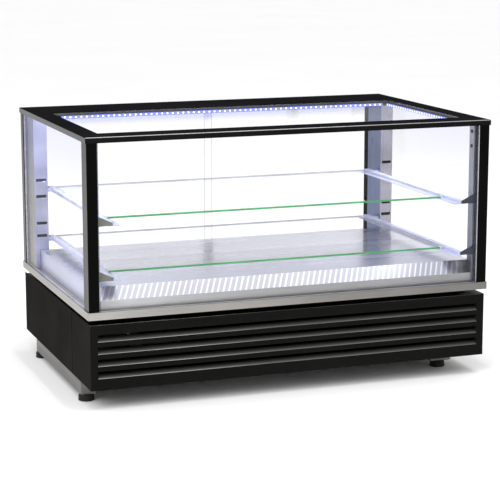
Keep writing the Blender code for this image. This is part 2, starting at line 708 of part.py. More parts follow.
def cap_beam(side, width, corner, directions, length, ratios):
    """One hollow folded beam of the cap, open at its mitred ends."""
    name = "cap_beam_" + side
    beam = mitred(name, cap_profile(width), corner, directions, length, ratios)
    hollow = mitred(name + "_hollow", cap_hollow(width), corner, directions, length, ratios, CAP_WIDE_CUT)
    combine(beam, "DIFFERENCE", hollow)


def make_cap():
    gap = TOUCH
    front_ratio = CAP_SIDE / CAP_FRONT
    rear_ratio = CAP_SIDE / CAP_REAR
    long_x = WIDTH - 2 * gap
    long_y = DEPTH - 2 * gap
    cap_beam("front", CAP_FRONT, (-HALF_W + gap, FRONT, 0), ((1, 0, 0), (0, 1, 0)), long_x,
             (front_ratio, front_ratio))
    cap_beam("rear", CAP_REAR, (-HALF_W + gap, REAR, 0), ((1, 0, 0), (0, -1, 0)), long_x,
             (rear_ratio, rear_ratio))
    for name, side in SIDES:
        cap_beam(name, CAP_SIDE, (side * HALF_W, FRONT + gap, 0), ((0, 1, 0), (-side, 0, 0)), long_y,
                 (1 / front_ratio, 1 / rear_ratio))


def make_glass():
    half = POST_INNER - TOUCH
    box("front_glass", (-half, FRONT_GLASS_IN - GLASS, GLASS_Z0), (half, FRONT_GLASS_IN, GLASS_Z1), CLEAR)
    y0 = POST_FRONT + POST_DEPTH + TOUCH
    y1 = POST_REAR - REAR_POST_DEPTH - TOUCH
    for name, side in SIDES:
        x0, x1 = span(side, SIDE_GLASS_INNER, SIDE_GLASS_OUT)
        box("side_glass_" + name, (x0, y0, GLASS_Z0), (x1, y1, GLASS_Z1), CLEAR)
    ease = CAP_LIP - 2 * TOUCH
    low = (-LIP_X - ease, LIP_Y0 - ease, HEIGHT - GLASS - TOUCH)
    high = (LIP_X + ease, LIP_Y1 + ease, HEIGHT - TOUCH)
    box("top_glass", low, high, CLEAR)


def make_led_strips():
    z0 = CAP_Z + TOUCH
    z1 = z0 + LED_WIDE
    x = LIP_X - TOUCH
    box("led_strip_rear", (-x + LED_END_IN, LIP_Y1 - TOUCH - LED_THICK, z0),
        (x - LED_END_IN, LIP_Y1 - TOUCH, z1), DIFFUSER)
    for name, side in SIDES:
        x0, x1 = span(side, x - LED_THICK, x)
        box("led_strip_" + name, (x0, LIP_Y0 + LED_END_IN, z0), (x1, LIP_Y1 - LED_END_IN, z1), DIFFUSER)
    half = UPRIGHT_IN - LED_END_IN
    y = UPRIGHT_FRONT + LED_FRONT_BACK
    box("led_strip_front", (-half, y, GLASS_Z1 - LED_THICK), (half, y + LED_WIDE, GLASS_Z1), DIFFUSER)


# ---------------------------------------------------------------- shelves
def make_shelves():
    y0 = FRONT + SHELF_FRONT_IN
    y1 = REAR - SHELF_REAR_IN
    for level, height in SHELF_LEVELS.items():
        top = WORK_Z + height
        box(level + "_shelf_glass", (-SHELF_HALF, y0, top - GLASS), (SHELF_HALF, y1, top), CLEAR, EDGE_ROUND)
        under = top - GLASS - TOUCH
        for name, side in SIDES:
            inner = SHELF_HALF + 2 * RUN
            outer = inner + RAIL_WIDTH
            section = [(SHELF_HALF - LEDGE_IN, under - RAIL_UNDER), (outer, under - RAIL_UNDER),
                       (outer, top + RAIL_PROUD), (inner, top + RAIL_PROUD), (inner, under),
                       (SHELF_HALF - LEDGE_IN, under)]
            gusset_y0 = UPRIGHT_FRONT - TOUCH - GUSSET_THICK
            arm = prism(level + "_shelf_arm_" + name, [(side * u, v) for u, v in section], "y",
                        gusset_y0 + GUSSET_THICK / 2, y1, SLATE)
            reach = POST_INNER - TOUCH
            tip = inner + RAIL_WIDTH / 4
            gusset = [(tip, top + RAIL_PROUD / 2), (tip, under), (reach, top - GUSSET_DOWN),
                      (reach, top + GUSSET_UP)]
            lug_y = PILLAR_Y0 + LUG_BACK
            lug = rectangle(outer - RAIL_WIDTH / 2, under - RAIL_UNDER / 2, PILLAR_IN - TOUCH,
                            top + RAIL_PROUD / 2)
            extras = [([(side * u, v) for u, v in gusset], gusset_y0, gusset_y0 + GUSSET_THICK),
                      ([(side * u, v) for u, v in lug], lug_y, lug_y + LUG_LENGTH)]
            join_prisms(arm, "ends", "y", extras)


# ---------------------------------------------------------------- rear doors
def track_outline(base_z, flange_z):
    """Section of a double track: a flat base with a wall on each side and one between the doors."""
    half_groove = DOOR_GLASS / 2 + RUN
    left = DOOR_Y["left"]
    right = DOOR_Y["right"]
    floor = base_z + (TRACK_BASE if flange_z > base_z else -TRACK_BASE)
    return [(TRACK_Y0, base_z), (TRACK_Y1, base_z), (TRACK_Y1, flange_z), (right + half_groove, flange_z),
            (right + half_groove, floor), (right - half_groove, floor), (right - half_groove, flange_z),
            (left + half_groove, flange_z), (left + half_groove, floor), (left - half_groove, floor),
            (left - half_groove, flange_z), (TRACK_Y0, flange_z)]


def make_tracks():
    low = track_outline(GLASS_Z0, GLASS_Z0 + TRACK_BASE + TRACK_FLANGE)
    prism("door_track_lower", low, "x", -TRACK_HALF, TRACK_HALF, STEEL)
    high = track_outline(GLASS_Z1, GLASS_Z1 - TRACK_BASE - TRACK_TOP_FLANGE)
    prism("door_track_upper", high, "x", -TRACK_HALF, TRACK_HALF, BLACK)


def make_doors():
    z0 = GLASS_Z0 + TRACK_BASE + RUN
    z1 = GLASS_Z1 - TRACK_BASE - DOOR_LIFT
    stile_z0 = GLASS_Z0 + TRACK_BASE + TRACK_FLANGE + RUN
    stile_z1 = GLASS_Z1 - TRACK_BASE - TRACK_TOP_FLANGE - RUN
    outer_edge = TRACK_HALF - RUN
    middle_z = (stile_z0 + stile_z1) / 2
    for name, side in SIDES:
        y = DOOR_Y[name]
        half = DOOR_GLASS / 2
        glass_edge = outer_edge - STILE_WALL - TOUCH
        x0, x1 = span(side, -DOOR_OVERLAP / 2, glass_edge)
        pivot = (side * outer_edge, y, z0)
        box("rear_door_glass_" + name, (x0, y - half, z0), (x1, y + half, z1), CLEAR, origin=pivot)
        x_in = outer_edge - STILE_WIDTH
        thick = half + TOUCH + STILE_WALL
        section = [(outer_edge, y - thick), (outer_edge, y + thick), (x_in, y + thick),
                   (x_in, y + half + TOUCH), (glass_edge + TOUCH, y + half + TOUCH),
                   (glass_edge + TOUCH, y - half - TOUCH), (x_in, y - half - TOUCH), (x_in, y - thick)]
        prism("rear_door_stile_" + name, [(side * u, v) for u, v in section], "z", stile_z0, stile_z1, BLACK,
              origin=pivot)
        grip = HANDLE_INNER if name == "left" else HANDLE_OUTER
        x0, x1 = span(side, outer_edge - STILE_WIDTH / 2 - HANDLE_WIDTH / 2,
                      outer_edge - STILE_WIDTH / 2 + HANDLE_WIDTH / 2)
        y0 = y + thick + TOUCH
        box("rear_door_handle_" + name, (x0, y0, middle_z - HANDLE_LENGTH / 2),
            (x1, y0 + grip, middle_z + HANDLE_LENGTH / 2), PLASTIC, EDGE_ROUND, pivot)


# ---------------------------------------------------------------- working parts in the base
def make_fan():
    top = BASE_TOP - SHEET - 2 * TOUCH
    bottom = top - FAN_DEEP
    half = FAN_SIDE / 2
    frame = box("fan_frame", (FAN_X - half, FAN_Y - half, bottom), (FAN_X + half, FAN_Y + half, top), PLASTIC)
    cut_prisms(frame, "bore", "z", [(circle(FAN_X, FAN_Y, FAN_BORE), bottom - SHEET, top + SHEET)])
    arms = spoked(FAN_HUB, FAN_BORE + RUN, FAN_HUB_ARMS, FAN_ARM_HALF, 8)
    spider = [(FAN_X + u, FAN_Y + v) for u, v in arms]
    join_prisms(frame, "motor", "z", [(spider, bottom, bottom + FAN_MOTOR_DEEP)])
    rotor = spoked(FAN_HUB, FAN_BORE - FAN_TIP_GAP, FAN_BLADES, FAN_BLADE_HALF)
    mesh_data = bmesh.new()
    add_prism(mesh_data, rotor, "z", 0.0, FAN_DEEP - FAN_MOTOR_DEEP - 3 * RUN, FAN_TWIST)
    lift = bottom + FAN_MOTOR_DEEP + RUN
    bmesh.ops.triangulate(mesh_data, faces=[face for face in mesh_data.faces if len(face.verts) == 4])
    fan = finish("fan_rotor", mesh_data, PLASTIC)
    fan.location = (FAN_X, FAN_Y, lift)


def heater_path():
    """Centre line of the heating element: parallel runs joined by half turns, with two legs."""
    points = []
    bend = HEATER_PITCH / 2
    half = DECK_HALF - HEATER_END_IN - bend
    z = WORK_Z + HEATER_LIFT
    y_first = -HEATER_PITCH * (HEATER_RUNS - 1) / 2
    points.append((-half - bend, y_first, WORK_Z + 2 * TOUCH))
    points.append((-half - bend, y_first, z - bend / 2))
    points.append((-half - bend / 2, y_first, z))
    for run in range(HEATER_RUNS):
        y = y_first + run * HEATER_PITCH
        direction = 1 if run % 2 == 0 else -1
        points.append((-half * direction, y, z))
        points.append((half * direction, y, z))
        if run == HEATER_RUNS - 1:
            break
        for step in range(1, 8):
            angle = -math.pi / 2 + math.pi * step / 8
            x = half * direction + direction * bend * math.cos(angle)
            points.append((x, y + bend + bend * math.sin(angle), z))
    y_last = y_first + (HEATER_RUNS - 1) * HEATER_PITCH
    points.append((half + bend / 2, y_last, z))
    points.append((half + bend, y_last, z - bend / 2))
    points.append((half + bend, y_last, WORK_Z + 2 * TOUCH))
    return points


def make_heater():
    curve = bpy.data.curves.new("heater_element", "CURVE")
    curve.dimensions = "3D"
    curve.bevel_depth = HEATER_TUBE
    curve.bevel_resolution = 2
    curve.use_fill_caps = True
    line = curve.splines.new("POLY")
    path = heater_path()
    line.points.add(len(path) - 1)
    for point, place in zip(line.points, path):
        point.co = (*place, 1.0)
    curve.materials.append(ELEMENT)
    made = bpy.data.objects.new("heater_element", curve)
    bpy.context.scene.collection.objects.link(made)


def make_controls():
    face = SERVICE_Y
    back = face - SHEET - TOUCH
    half = THERMOSTAT / 2
    body = box("thermostat", (KNOB_X - half, back - THERMOSTAT, CONTROL_LEVEL - half),
               (KNOB_X + half, back, CONTROL_LEVEL + half), PLASTIC)
    shaft_end = face + SHAFT_BORE_DEEP - RUN
    shaft = [(circle(KNOB_X, CONTROL_LEVEL, SHAFT_RADIUS, 24), back - SHAFT_RADIUS, shaft_end)]
    join_prisms(body, "shaft", "y", shaft)
    bore = SHAFT_RADIUS + TOUCH
    y0 = face + 2 * TOUCH
    y1 = y0 + KNOB_DEEP
    profile = [(0.0, y1), (KNOB_TOP_RADIUS, y1), (KNOB_TOP_RADIUS + KNOB_EDGE, y1 - KNOB_EDGE),
               (KNOB_RADIUS, y0 + KNOB_EDGE), (KNOB_RADIUS, y0), (bore, y0), (bore, y0 + SHAFT_BORE_DEEP),
               (0.0, y0 + SHAFT_BORE_DEEP)]
    knob = turned("thermostat_knob", profile, "y", (KNOB_X, 0.0, CONTROL_LEVEL), PLASTIC,
                  (KNOB_X, y0, CONTROL_LEVEL))
    ridge = rectangle(KNOB_X - RIDGE_WIDTH / 2, CONTROL_LEVEL - RIDGE_LENGTH / 2, KNOB_X + RIDGE_WIDTH / 2,
                      CONTROL_LEVEL + RIDGE_LENGTH / 2)
    join_prisms(knob, "ridge", "y", [(ridge, y1 - RIDGE_HEIGHT, y1 + RIDGE_HEIGHT)])
    for name, x in zip(("heat_switch", "light_switch"), SWITCH_X):
        make_rocker(name, x)


def make_rocker(name, x):
    """A rocker switch, modelled in its off position, with its origin on its pivot."""
    half_z = ROCKER[2] / 2
    front = ROCKER[1] / 2
    back = -ROCKER[1]
    back_z = half_z - ROCKER_DISH
    outline = [(back, -back_z), (front, -half_z), (front - ROCKER_DISH, 0.0), (front, half_z),
               (back, back_z)]
    turn = Matrix.Rotation(ROCKER_TILT, 2)
    tilted = [turn @ Vector(point) for point in outline]
    pivot_y = SERVICE_Y - SHEET
    placed = [(pivot_y + point.x, CONTROL_LEVEL + point.y) for point in tilted]
    prism(name, placed, "x", x - ROCKER[0] / 2, x + ROCKER[0] / 2, PLASTIC,
          origin=(x, pivot_y, CONTROL_LEVEL))


def make_gland():
    z = BASE_Z + GLAND_Z
    y = SERVICE_Y
    profile = [(GLAND_BORE, y - GLAND_BEHIND), (GLAND_NECK, y - GLAND_BEHIND), (GLAND_NECK, y + TOUCH),
               (GLAND_RADIUS, y + TOUCH), (GLAND_RADIUS, y + GLAND_NUT), (GLAND_TIP, y + GLAND_LENGTH),
               (GLAND_BORE, y + GLAND_LENGTH)]
    turned("cable_gland", profile, "y", (GLAND_X, 0.0, z), PLASTIC, sides=24)


def make_driver():
    low = Vector((-BASE_HALF + DRIVER_IN, DRIVER_Y, BASE_Z + SHEET + TOUCH))
    box("led_driver", low, low + Vector(DRIVER), STEEL, DRIVER_ROUND)


make_feet()
make_plinth()
make_front_cover()
make_side_panels()
make_rear_panel()
make_floor_and_lid()
make_neck()
make_worktop()
make_deck()
make_riser()
make_posts()
make_pillars()
make_cap()
make_glass()
make_led_strips()
make_shelves()
make_tracks()
make_doors()
make_fan()
make_heater()
make_controls()
make_gland()
make_driver()
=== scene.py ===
"""Looks of a countertop hot food display case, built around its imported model.

Metres, +Z up, front towards -Y. Every place comes from the model's own boxes.
"""

import json
import math

import bpy
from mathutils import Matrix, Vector

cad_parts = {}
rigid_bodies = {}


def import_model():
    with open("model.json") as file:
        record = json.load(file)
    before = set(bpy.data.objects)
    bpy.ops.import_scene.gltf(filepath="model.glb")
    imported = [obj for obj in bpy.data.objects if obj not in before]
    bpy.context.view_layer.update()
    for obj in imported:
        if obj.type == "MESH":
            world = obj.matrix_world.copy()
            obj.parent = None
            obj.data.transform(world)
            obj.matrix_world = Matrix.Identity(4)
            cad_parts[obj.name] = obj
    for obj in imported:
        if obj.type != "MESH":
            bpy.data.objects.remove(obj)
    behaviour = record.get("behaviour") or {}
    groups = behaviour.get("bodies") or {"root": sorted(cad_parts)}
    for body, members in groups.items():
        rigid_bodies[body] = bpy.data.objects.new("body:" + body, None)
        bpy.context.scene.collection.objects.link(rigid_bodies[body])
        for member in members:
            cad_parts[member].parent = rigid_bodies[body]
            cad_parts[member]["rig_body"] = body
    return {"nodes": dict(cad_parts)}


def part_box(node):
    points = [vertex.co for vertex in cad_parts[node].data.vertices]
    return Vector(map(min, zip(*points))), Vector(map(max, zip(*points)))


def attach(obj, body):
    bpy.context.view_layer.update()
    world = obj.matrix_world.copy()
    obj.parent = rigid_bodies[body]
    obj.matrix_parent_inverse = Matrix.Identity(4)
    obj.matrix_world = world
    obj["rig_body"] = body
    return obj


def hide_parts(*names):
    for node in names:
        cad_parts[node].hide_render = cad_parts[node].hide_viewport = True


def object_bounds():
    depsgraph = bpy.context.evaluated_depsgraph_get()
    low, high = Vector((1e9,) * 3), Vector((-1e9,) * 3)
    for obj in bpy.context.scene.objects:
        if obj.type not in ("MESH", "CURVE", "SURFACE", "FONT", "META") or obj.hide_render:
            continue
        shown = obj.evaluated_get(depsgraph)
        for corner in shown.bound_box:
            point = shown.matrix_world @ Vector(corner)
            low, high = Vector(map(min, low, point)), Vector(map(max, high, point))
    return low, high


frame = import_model()
cad_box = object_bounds()
NODES = frame["nodes"]

# ---------------------------------------------------------------- sizes that the frame does not give
LAMP_PITCH = 0.0167             # 60 lamps a metre
DOOR_HAZE = 0.055               # how far the lamps' haze fades downwards in the doors' glass
SIDE_HAZE = 0.24                # and in the side glass
LAMP_SIZE = 0.0050              # a lamp's square body
LAMP_PROUD = 0.0014
LAMP_LENS = 0.0036
LENS_SUNK = 0.0003
LAMP_GAP = 0.0001               # glue line between tape and lamp
TAPE_THICK = 0.0012
STREAK_LEAN = math.radians(38)  # lean of the lamps' streaks on the riser
SCREW_RADIUS = 0.0036
SCREW_PROUD = 0.0011
SCREW_SOCKET = 0.0016
PANEL_SCREWS = 7                # in each row of the service panel
PANEL_SCREW_IN = 0.012
UPRIGHT_SCREWS = (("high", 0.020), ("low", 0.062))
UPRIGHT_SCREW_SIZE = 1.5
JOINT_SHADE = 0.0028            # half width of the dark line between two side sheets
SHELF_CORNER = 0.006            # rounded corners of the shelf glass
GLASS_ARRIS = 0.0007
BUFFER_LENGTH = 0.008
BUFFER_WALL = 0.0015
KNOB_MARKS = 10
MARK_CLEAR = 0.006              # from the knob to its dots
SWITCH_RIM = 0.0035
SWITCH_PROUD = 0.0016
THIN_EDGE = 0.0003              # rounded edges of thin tracks and strips
SHEET_EDGE = 0.0004             # of bent sheet and tube
SMALL_EDGE = 0.0005             # of the plinth, the shelf arms and small plastic parts
MOULD_EDGE = 0.0006             # of moulded parts
COVER_EDGE = 0.0007             # of folded covers
DECK_EDGE = 0.0008              # of thick stainless
SKIN_DEPTH = 0.0008             # a pillar's faces this near its box count as its outside
RIM_EDGE = 0.0009               # of the worktop, feet and buffers
LIP_FIRST = 0.1735              # lowest louvre lip, as a part of the cover's height
LIP_PITCH = 0.0342
HAIR_SCALE = 1400.0             # hairlines of brushed steel
HAIR_STRETCH = 0.012
HAIR_DEPTH = 0.00001
PEEL_SCALE = 900.0              # orange peel of powder coat
ORANGE_PEEL = 0.00006
FINE_PEEL = 0.00003
GLOSS_SCALE = 7.0               # slow changes in gloss
GLASS_VEIL = 0.012              # how much of a pane shows when seen face on
GLASS_MIRROR = 0.30             # and when looked along
HAZE_LILAC = (0.36, 0.41, 0.95)
COOL_LIGHT = (0.86, 0.89, 1.0)
REAR_POWER = 1.5                # watts of the lamps' light on the deck
FRONT_POWER = 0.3
SIDE_POWER = 0.8
SOFTBOX_POWER = 70
SKY_LIGHT = 1.08
CAMERA_PLACE = (-1.7610, -4.8148, 1.3327)
CAMERA_DOWN = 10.977            # degrees
CAMERA_TURN = 20.156
CAMERA_LENS = 125.26            # on a 36 mm sensor
SIDES = (("left", -1), ("right", 1))
PIERCED = ("rear_service_panel", "front_louvre_cover", "base_lid", "stainless_worktop", "heated_deck",
           "slotted_pillar_left", "slotted_pillar_right", "fan_frame", "cable_gland")

# ---------------------------------------------------------------- modelling by hand, in code
def deselect_all():
    if bpy.context.object and bpy.context.object.mode != "OBJECT":
        bpy.ops.object.mode_set(mode="OBJECT")
    bpy.ops.object.select_all(action="DESELECT")


def pick(piece):
    deselect_all()
    piece.select_set(True)
    bpy.context.view_layer.objects.active = piece


def edit(piece, mode="FACE"):
    """Open a piece for editing with nothing selected."""
    pick(piece)
    bpy.ops.object.mode_set(mode="EDIT")
    bpy.ops.mesh.select_mode(type=mode)
    bpy.ops.mesh.select_all(action="DESELECT")


def done(piece):
    bpy.ops.object.mode_set(mode="OBJECT")
    return piece


def select_faces(piece, test):
    """Select the faces that pass a test of their centre and normal, in edit mode."""
    bpy.ops.object.mode_set(mode="OBJECT")
    for face in piece.data.polygons:
        face.select = test(face.center, face.normal)
    bpy.ops.object.mode_set(mode="EDIT")


def select_edges(piece, test):
    """Select the edges that pass a test of their two ends, in edit mode."""
    bpy.ops.object.mode_set(mode="OBJECT")
    for edge in piece.data.edges:
        edge.select = test(*[piece.data.vertices[corner].co for corner in edge.vertices])
    bpy.ops.object.mode_set(mode="EDIT")


def settle(piece):
    """Put a piece's place, turn and size into its mesh."""
    pick(piece)
    bpy.ops.object.transform_apply(location=True, rotation=True, scale=True)
    return piece


def modify(piece, kind, **settings):
    pick(piece)
    step = piece.modifiers.new(kind.lower(), kind)
    for name, value in settings.items():
        setattr(step, name, value)
    bpy.ops.object.modifier_apply(modifier=step.name)
    return piece


def round_edges(piece, width, segments=3, angle=32):
    modify(piece, "BEVEL", width=width, segments=segments, limit_method="ANGLE",
           angle_limit=math.radians(angle), harden_normals=False, miter_outer="MITER_ARC")
    pick(piece)
    bpy.ops.object.shade_smooth_by_angle(angle=math.radians(angle))
    modify(piece, "WEIGHTED_NORMAL", weight=100, keep_sharp=True)
    return piece


def slab(name, low, high):
    """A block between two corners, the start of most pieces."""
    low = Vector(low)
    high = Vector(high)
    deselect_all()
    bpy.ops.mesh.primitive_cube_add(size=1.0, location=(low + high) / 2, scale=high - low)
    piece = bpy.context.object
    piece.name = name
    return settle(piece)


def rod(name, centre, radius, length, axis, sides=24):
    """A cylinder from a centre point outwards along an axis."""
    turn = Vector((0, 0, 1)).rotation_difference(Vector(axis)).to_euler()
    middle = Vector(centre) + Vector(axis) * (length / 2)
    deselect_all()
    bpy.ops.mesh.primitive_cylinder_add(vertices=sides, radius=radius, depth=length, location=middle,
                                        rotation=turn)
    piece = bpy.context.object
    piece.name = name
    return settle(piece)


def sink(piece, axis, inset, depth):
    """Inset a piece's end face and push it in."""
    edit(piece)
    direction = Vector(axis)
    reach = max(direction.dot(corner.co) for corner in piece.data.vertices)
    select_faces(piece, lambda centre, normal: normal.dot(direction) > 0.99
                 and direction.dot(centre) > reach - 1e-5)
    bpy.ops.mesh.inset(thickness=inset, depth=0.0)
    bpy.ops.mesh.extrude_region_move(TRANSFORM_OT_translate={"value": direction * -depth})
    return done(piece)


def copy_of(piece, offset):
    """A second piece like the first, moved by an offset."""
    twin = piece.copy()
    twin.data = piece.data.copy()
    bpy.context.scene.collection.objects.link(twin)
    for corner in twin.data.vertices:
        corner.co = corner.co + Vector(offset)
    return twin


def join(name, pieces):
    deselect_all()
    for piece in pieces:
        piece.select_set(True)
    bpy.context.view_layer.objects.active = pieces[0]
    bpy.ops.object.join()
    pieces[0].name = name
    return pieces[0]


def paint(piece, material, test=None):
    """Give all of a piece, or the faces that pass a test, one material."""
    if test is None:
        piece.data.materials.clear()
        piece.data.materials.append(material)
        for face in piece.data.polygons:
            face.material_index = 0
        return piece
    piece.data.materials.append(material)
    index = len(piece.data.materials) - 1
    for face in piece.data.polygons:
        if test(face.center, face.normal):
            face.material_index = index
    return piece


def place(piece, body, slot, *replaced):
    """Let a finished piece ride on its body, for the nodes it stands for. The slot is not used."""
    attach(piece, body)
    if replaced:
        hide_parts(*replaced)
    return piece


def softened(node, material, width, slot, segments=3, angle=32):
    """A copy of a node as one welded skin with rounded edges. Faces with holes in them stay cut up."""
    mesh = NODES[node].data.copy()
    piece = bpy.data.objects.new(node + "_skin", mesh)
    bpy.context.scene.collection.objects.link(piece)
    edit(piece, "VERT")
    bpy.ops.mesh.select_all(action="SELECT")
    bpy.ops.mesh.remove_doubles(threshold=1e-5)
    if node not in PIERCED:
        bpy.ops.mesh.dissolve_limited(angle_limit=math.radians(0.5))
    done(piece)
    round_edges(piece, width, segments, angle)
    paint(piece, material)
    place(piece, NODES[node]["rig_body"], slot, node)
    return piece


# ---------------------------------------------------------------- finishes
def finish(name, colour, roughness, metallic=0.0, specular=0.5):
    """A Principled material. Plain numbers sit on the shader's own sockets."""
    made = bpy.data.materials.new(name)
    made.use_nodes = True
    shader = made.node_tree.nodes["Principled BSDF"]
    shader.inputs["Base Color"].default_value = (*colour, 1.0)
    shader.inputs["Roughness"].default_value = roughness
    shader.inputs["Metallic"].default_value = metallic
    shader.inputs["Specular IOR Level"].default_value = specular
    return made


def add(material, kind, **inputs):
    """Add a node and set or link its inputs by name."""
    node = material.node_tree.nodes.new("ShaderNode" + kind)
    for name, value in inputs.items():
        socket = node.inputs[name.replace("_", " ")]
        if isinstance(value, bpy.types.NodeSocket):
            material.node_tree.links.new(value, socket)
        else:
            socket.default_value = value
    return node


def link(material, source, socket):
    shader = material.node_tree.nodes["Principled BSDF"]
    material.node_tree.links.new(source, shader.inputs[socket])


def noise(material, scale, stretch=(1, 1, 1), detail=3.0, rough=0.55):
    """Noise on the piece's own coordinates, from 0 to 1, stretched along an axis by a small factor."""
    where = add(material, "TexCoord").outputs["Object"]
    placed = add(material, "Mapping", Vector=where, Scale=stretch).outputs["Vector"]
    made = add(material, "TexNoise", Vector=placed, Scale=scale, Detail=detail, Roughness=rough)
    return made.outputs["Fac"]


def between(material, source, low, high, start=0.3, end=0.7):
    """Turn a pattern into a number between two values."""
    node = add(material, "MapRange", Value=source)
    for name, value in (("From Min", start), ("From Max", end), ("To Min", low), ("To Max", high)):
        node.inputs[name].default_value = value
    return node.outputs["Result"]


def shades(material, source, dark, light, start=0.3, end=0.7):
    """Turn a pattern into a colour between two colours."""
    node = material.node_tree.nodes.new("ShaderNodeValToRGB")
    material.node_tree.links.new(source, node.inputs["Fac"])
    ramp = node.color_ramp.elements
    ramp[0].position = start
    ramp[0].color = (*dark, 1.0)
    ramp[1].position = end
    ramp[1].color = (*light, 1.0)
    return node.outputs["Color"]


def relief(material, source, distance, strength=1.0):
    """Raise and lower the surface by a pattern."""
    node = add(material, "Bump", Height=source, Strength=strength, Distance=distance)
    link(material, node.outputs["Normal"], "Normal")


def compute(material, operation, first, second=None, clamp=False):
    """Work on one or two numbers; the second may be a plain value."""
    node = material.node_tree.nodes.new("ShaderNodeMath")
    node.operation = operation
    node.use_clamp = clamp
    material.node_tree.links.new(first, node.inputs[0])
    if isinstance(second, bpy.types.NodeSocket):
        material.node_tree.links.new(second, node.inputs[1])
    elif second is not None:
        node.inputs[1].default_value = second
    return node.outputs[0]


def mixed(material, factor, first, second, mode="MIX"):
    """Mix two colours; factor and colours may each be a socket or a plain value."""
    node = add(material, "Mix")
    node.data_type = "RGBA"
    node.blend_type = mode
    for name, value in (("Factor", factor), ("A", first), ("B", second)):
        if isinstance(value, bpy.types.NodeSocket):
            material.node_tree.links.new(value, node.inputs[name])
        elif name == "Factor":
            node.inputs[name].default_value = value
        else:
            node.inputs[name].default_value = (*value, 1.0)
    return node.outputs["Result"]


def multiply(material, first, second):
    return mixed(material, 1.0, first, second, "MULTIPLY")


def place_along(material, axis):
    """How far along an axis a spot of the piece lies."""
    where = add(material, "TexCoord").outputs["Object"]
    return add(material, "SeparateXYZ", Vector=where).outputs[axis]


def linked_to(material, socket):
    """What already feeds one of the shader's sockets."""
    return material.node_tree.nodes["Principled BSDF"].inputs[socket].links[0].from_socket


def scaled(colour, factor):
    return tuple(channel * factor for channel in colour)


def along_front(material, *stops):
    """A colour that changes from the left end of the case to its right end."""
    across = place_along(material, "X")
    half = (cad_box[1][0] - cad_box[0][0]) / 2
    node = material.node_tree.nodes.new("ShaderNodeValToRGB")
    material.node_tree.links.new(between(material, across, 0.0, 1.0, -half, half), node.inputs["Fac"])
    ramp = node.color_ramp.elements
    while len(ramp) < len(stops):
        ramp.new(1.0)
    for mark, (position, colour) in zip(ramp, stops):
        mark.position = position
        mark.color = (*colour, 1.0)
    return node.outputs["Color"]


def brushed_steel(name, colour, roughness, along, cloud=0.12, ends=None, hair=0.80):
    """Steel with fine hairlines along one axis, and slow changes in tone from handling."""
    made = finish(name, colour, roughness, 1.0)
    stretch = [1.0, 1.0, 1.0]
    stretch["xyz".index(along)] = HAIR_STRETCH
    hairs = noise(made, HAIR_SCALE, stretch, 4.0, 0.7)
    clouds = noise(made, 3.2, (1, 1, 2.5), 2.0)
    smears = noise(made, 26.0, stretch, 3.0)
    tone = shades(made, clouds, scaled(colour, 1 - cloud), scaled(colour, 1 + cloud))
    lines = shades(made, hairs, (hair, hair, hair), (1.0, 1.0, 1.0), 0.35, 0.62)
    # ends: a painted light and shade ramp from the case's left end to its right end
    if ends:
        tone = multiply(made, tone, along_front(made, *ends))
    link(made, multiply(made, tone, lines), "Base Color")
    link(made, between(made, smears, roughness * 0.8, roughness * 1.3), "Roughness")
    relief(made, hairs, HAIR_DEPTH, 0.25)
    return made


def powder_coat(name, colour, roughness, specular, grain=ORANGE_PEEL):
    """Painted metal: a fine orange-peel skin with slow changes in gloss."""
    made = finish(name, colour, roughness, 0.0, specular)
    peel = noise(made, PEEL_SCALE, detail=2.0)
    haze = noise(made, GLOSS_SCALE, detail=4.0)
    link(made, between(made, haze, roughness * 0.88, roughness * 1.14), "Roughness")
    link(made, shades(made, haze, scaled(colour, 0.85), scaled(colour, 1.2)), "Base Color")
    relief(made, peel, grain, 0.5)
    return made


def joint_line(material, across, reach):
    """Darken a painted side where two sheets meet, across being the joint's place along Y."""
    offset = compute(material, "SUBTRACT", place_along(material, "Y"), across)
    away = compute(material, "ABSOLUTE", offset)
    line = shades(material, away, (0.20, 0.20, 0.20), (1.0, 1.0, 1.0), reach * 0.5, reach)
    link(material, multiply(material, linked_to(material, "Base Color"), line), "Base Color")


def moulded(name, colour, roughness, grain=0.00012):
    """Moulded plastic or rubber with a fine leather grain."""
    made = finish(name, colour, roughness, 0.0, 0.35)
    pits = add(made, "TexVoronoi", Vector=add(made, "TexCoord").outputs["Object"], Scale=1100.0)
    wear = noise(made, 40.0, detail=3.0)
    link(made, between(made, wear, roughness * 0.85, roughness * 1.15), "Roughness")
    link(made, shades(made, wear, scaled(colour, 0.8), scaled(colour, 1.3)), "Base Color")
    relief(made, pits.outputs["Distance"], grain, 0.4)
    return made


def louvre_paint(name, roughness):
    """Black paint on the louvre blades, with painted light: each blade is painted darker upwards from
    its lip as painted shade, and the lip carries a painted highlight, brighter at the left.
    """
    made = finish(name, (0.03, 0.03, 0.03), roughness, 0.0, 0.35)
    low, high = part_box("front_louvre_cover")
    first = low.z + (high.z - low.z) * LIP_FIRST
    steps = between(made, place_along(made, "Z"), 0.0, 4.0, first, first + 4 * LIP_PITCH)
    part = compute(made, "FRACT", steps)
    # painted shade: each blade darker upwards from its lip
    shade = shades(made, part, (0.060, 0.060, 0.057), (0.008, 0.008, 0.008), 0.05, 0.30)
    # painted highlight along each lip
    lip = shades(made, part, (1.0, 1.0, 1.0), (0.0, 0.0, 0.0), 0.030, 0.055)
    link(made, mixed(made, lip, shade, along_front(made, *LIT_LEFT)), "Base Color")
    haze = noise(made, GLOSS_SCALE, detail=4.0)
    link(made, between(made, haze, roughness * 0.85, roughness * 1.2), "Roughness")
    relief(made, noise(made, PEEL_SCALE, detail=2.0), ORANGE_PEEL, 0.4)
    return made


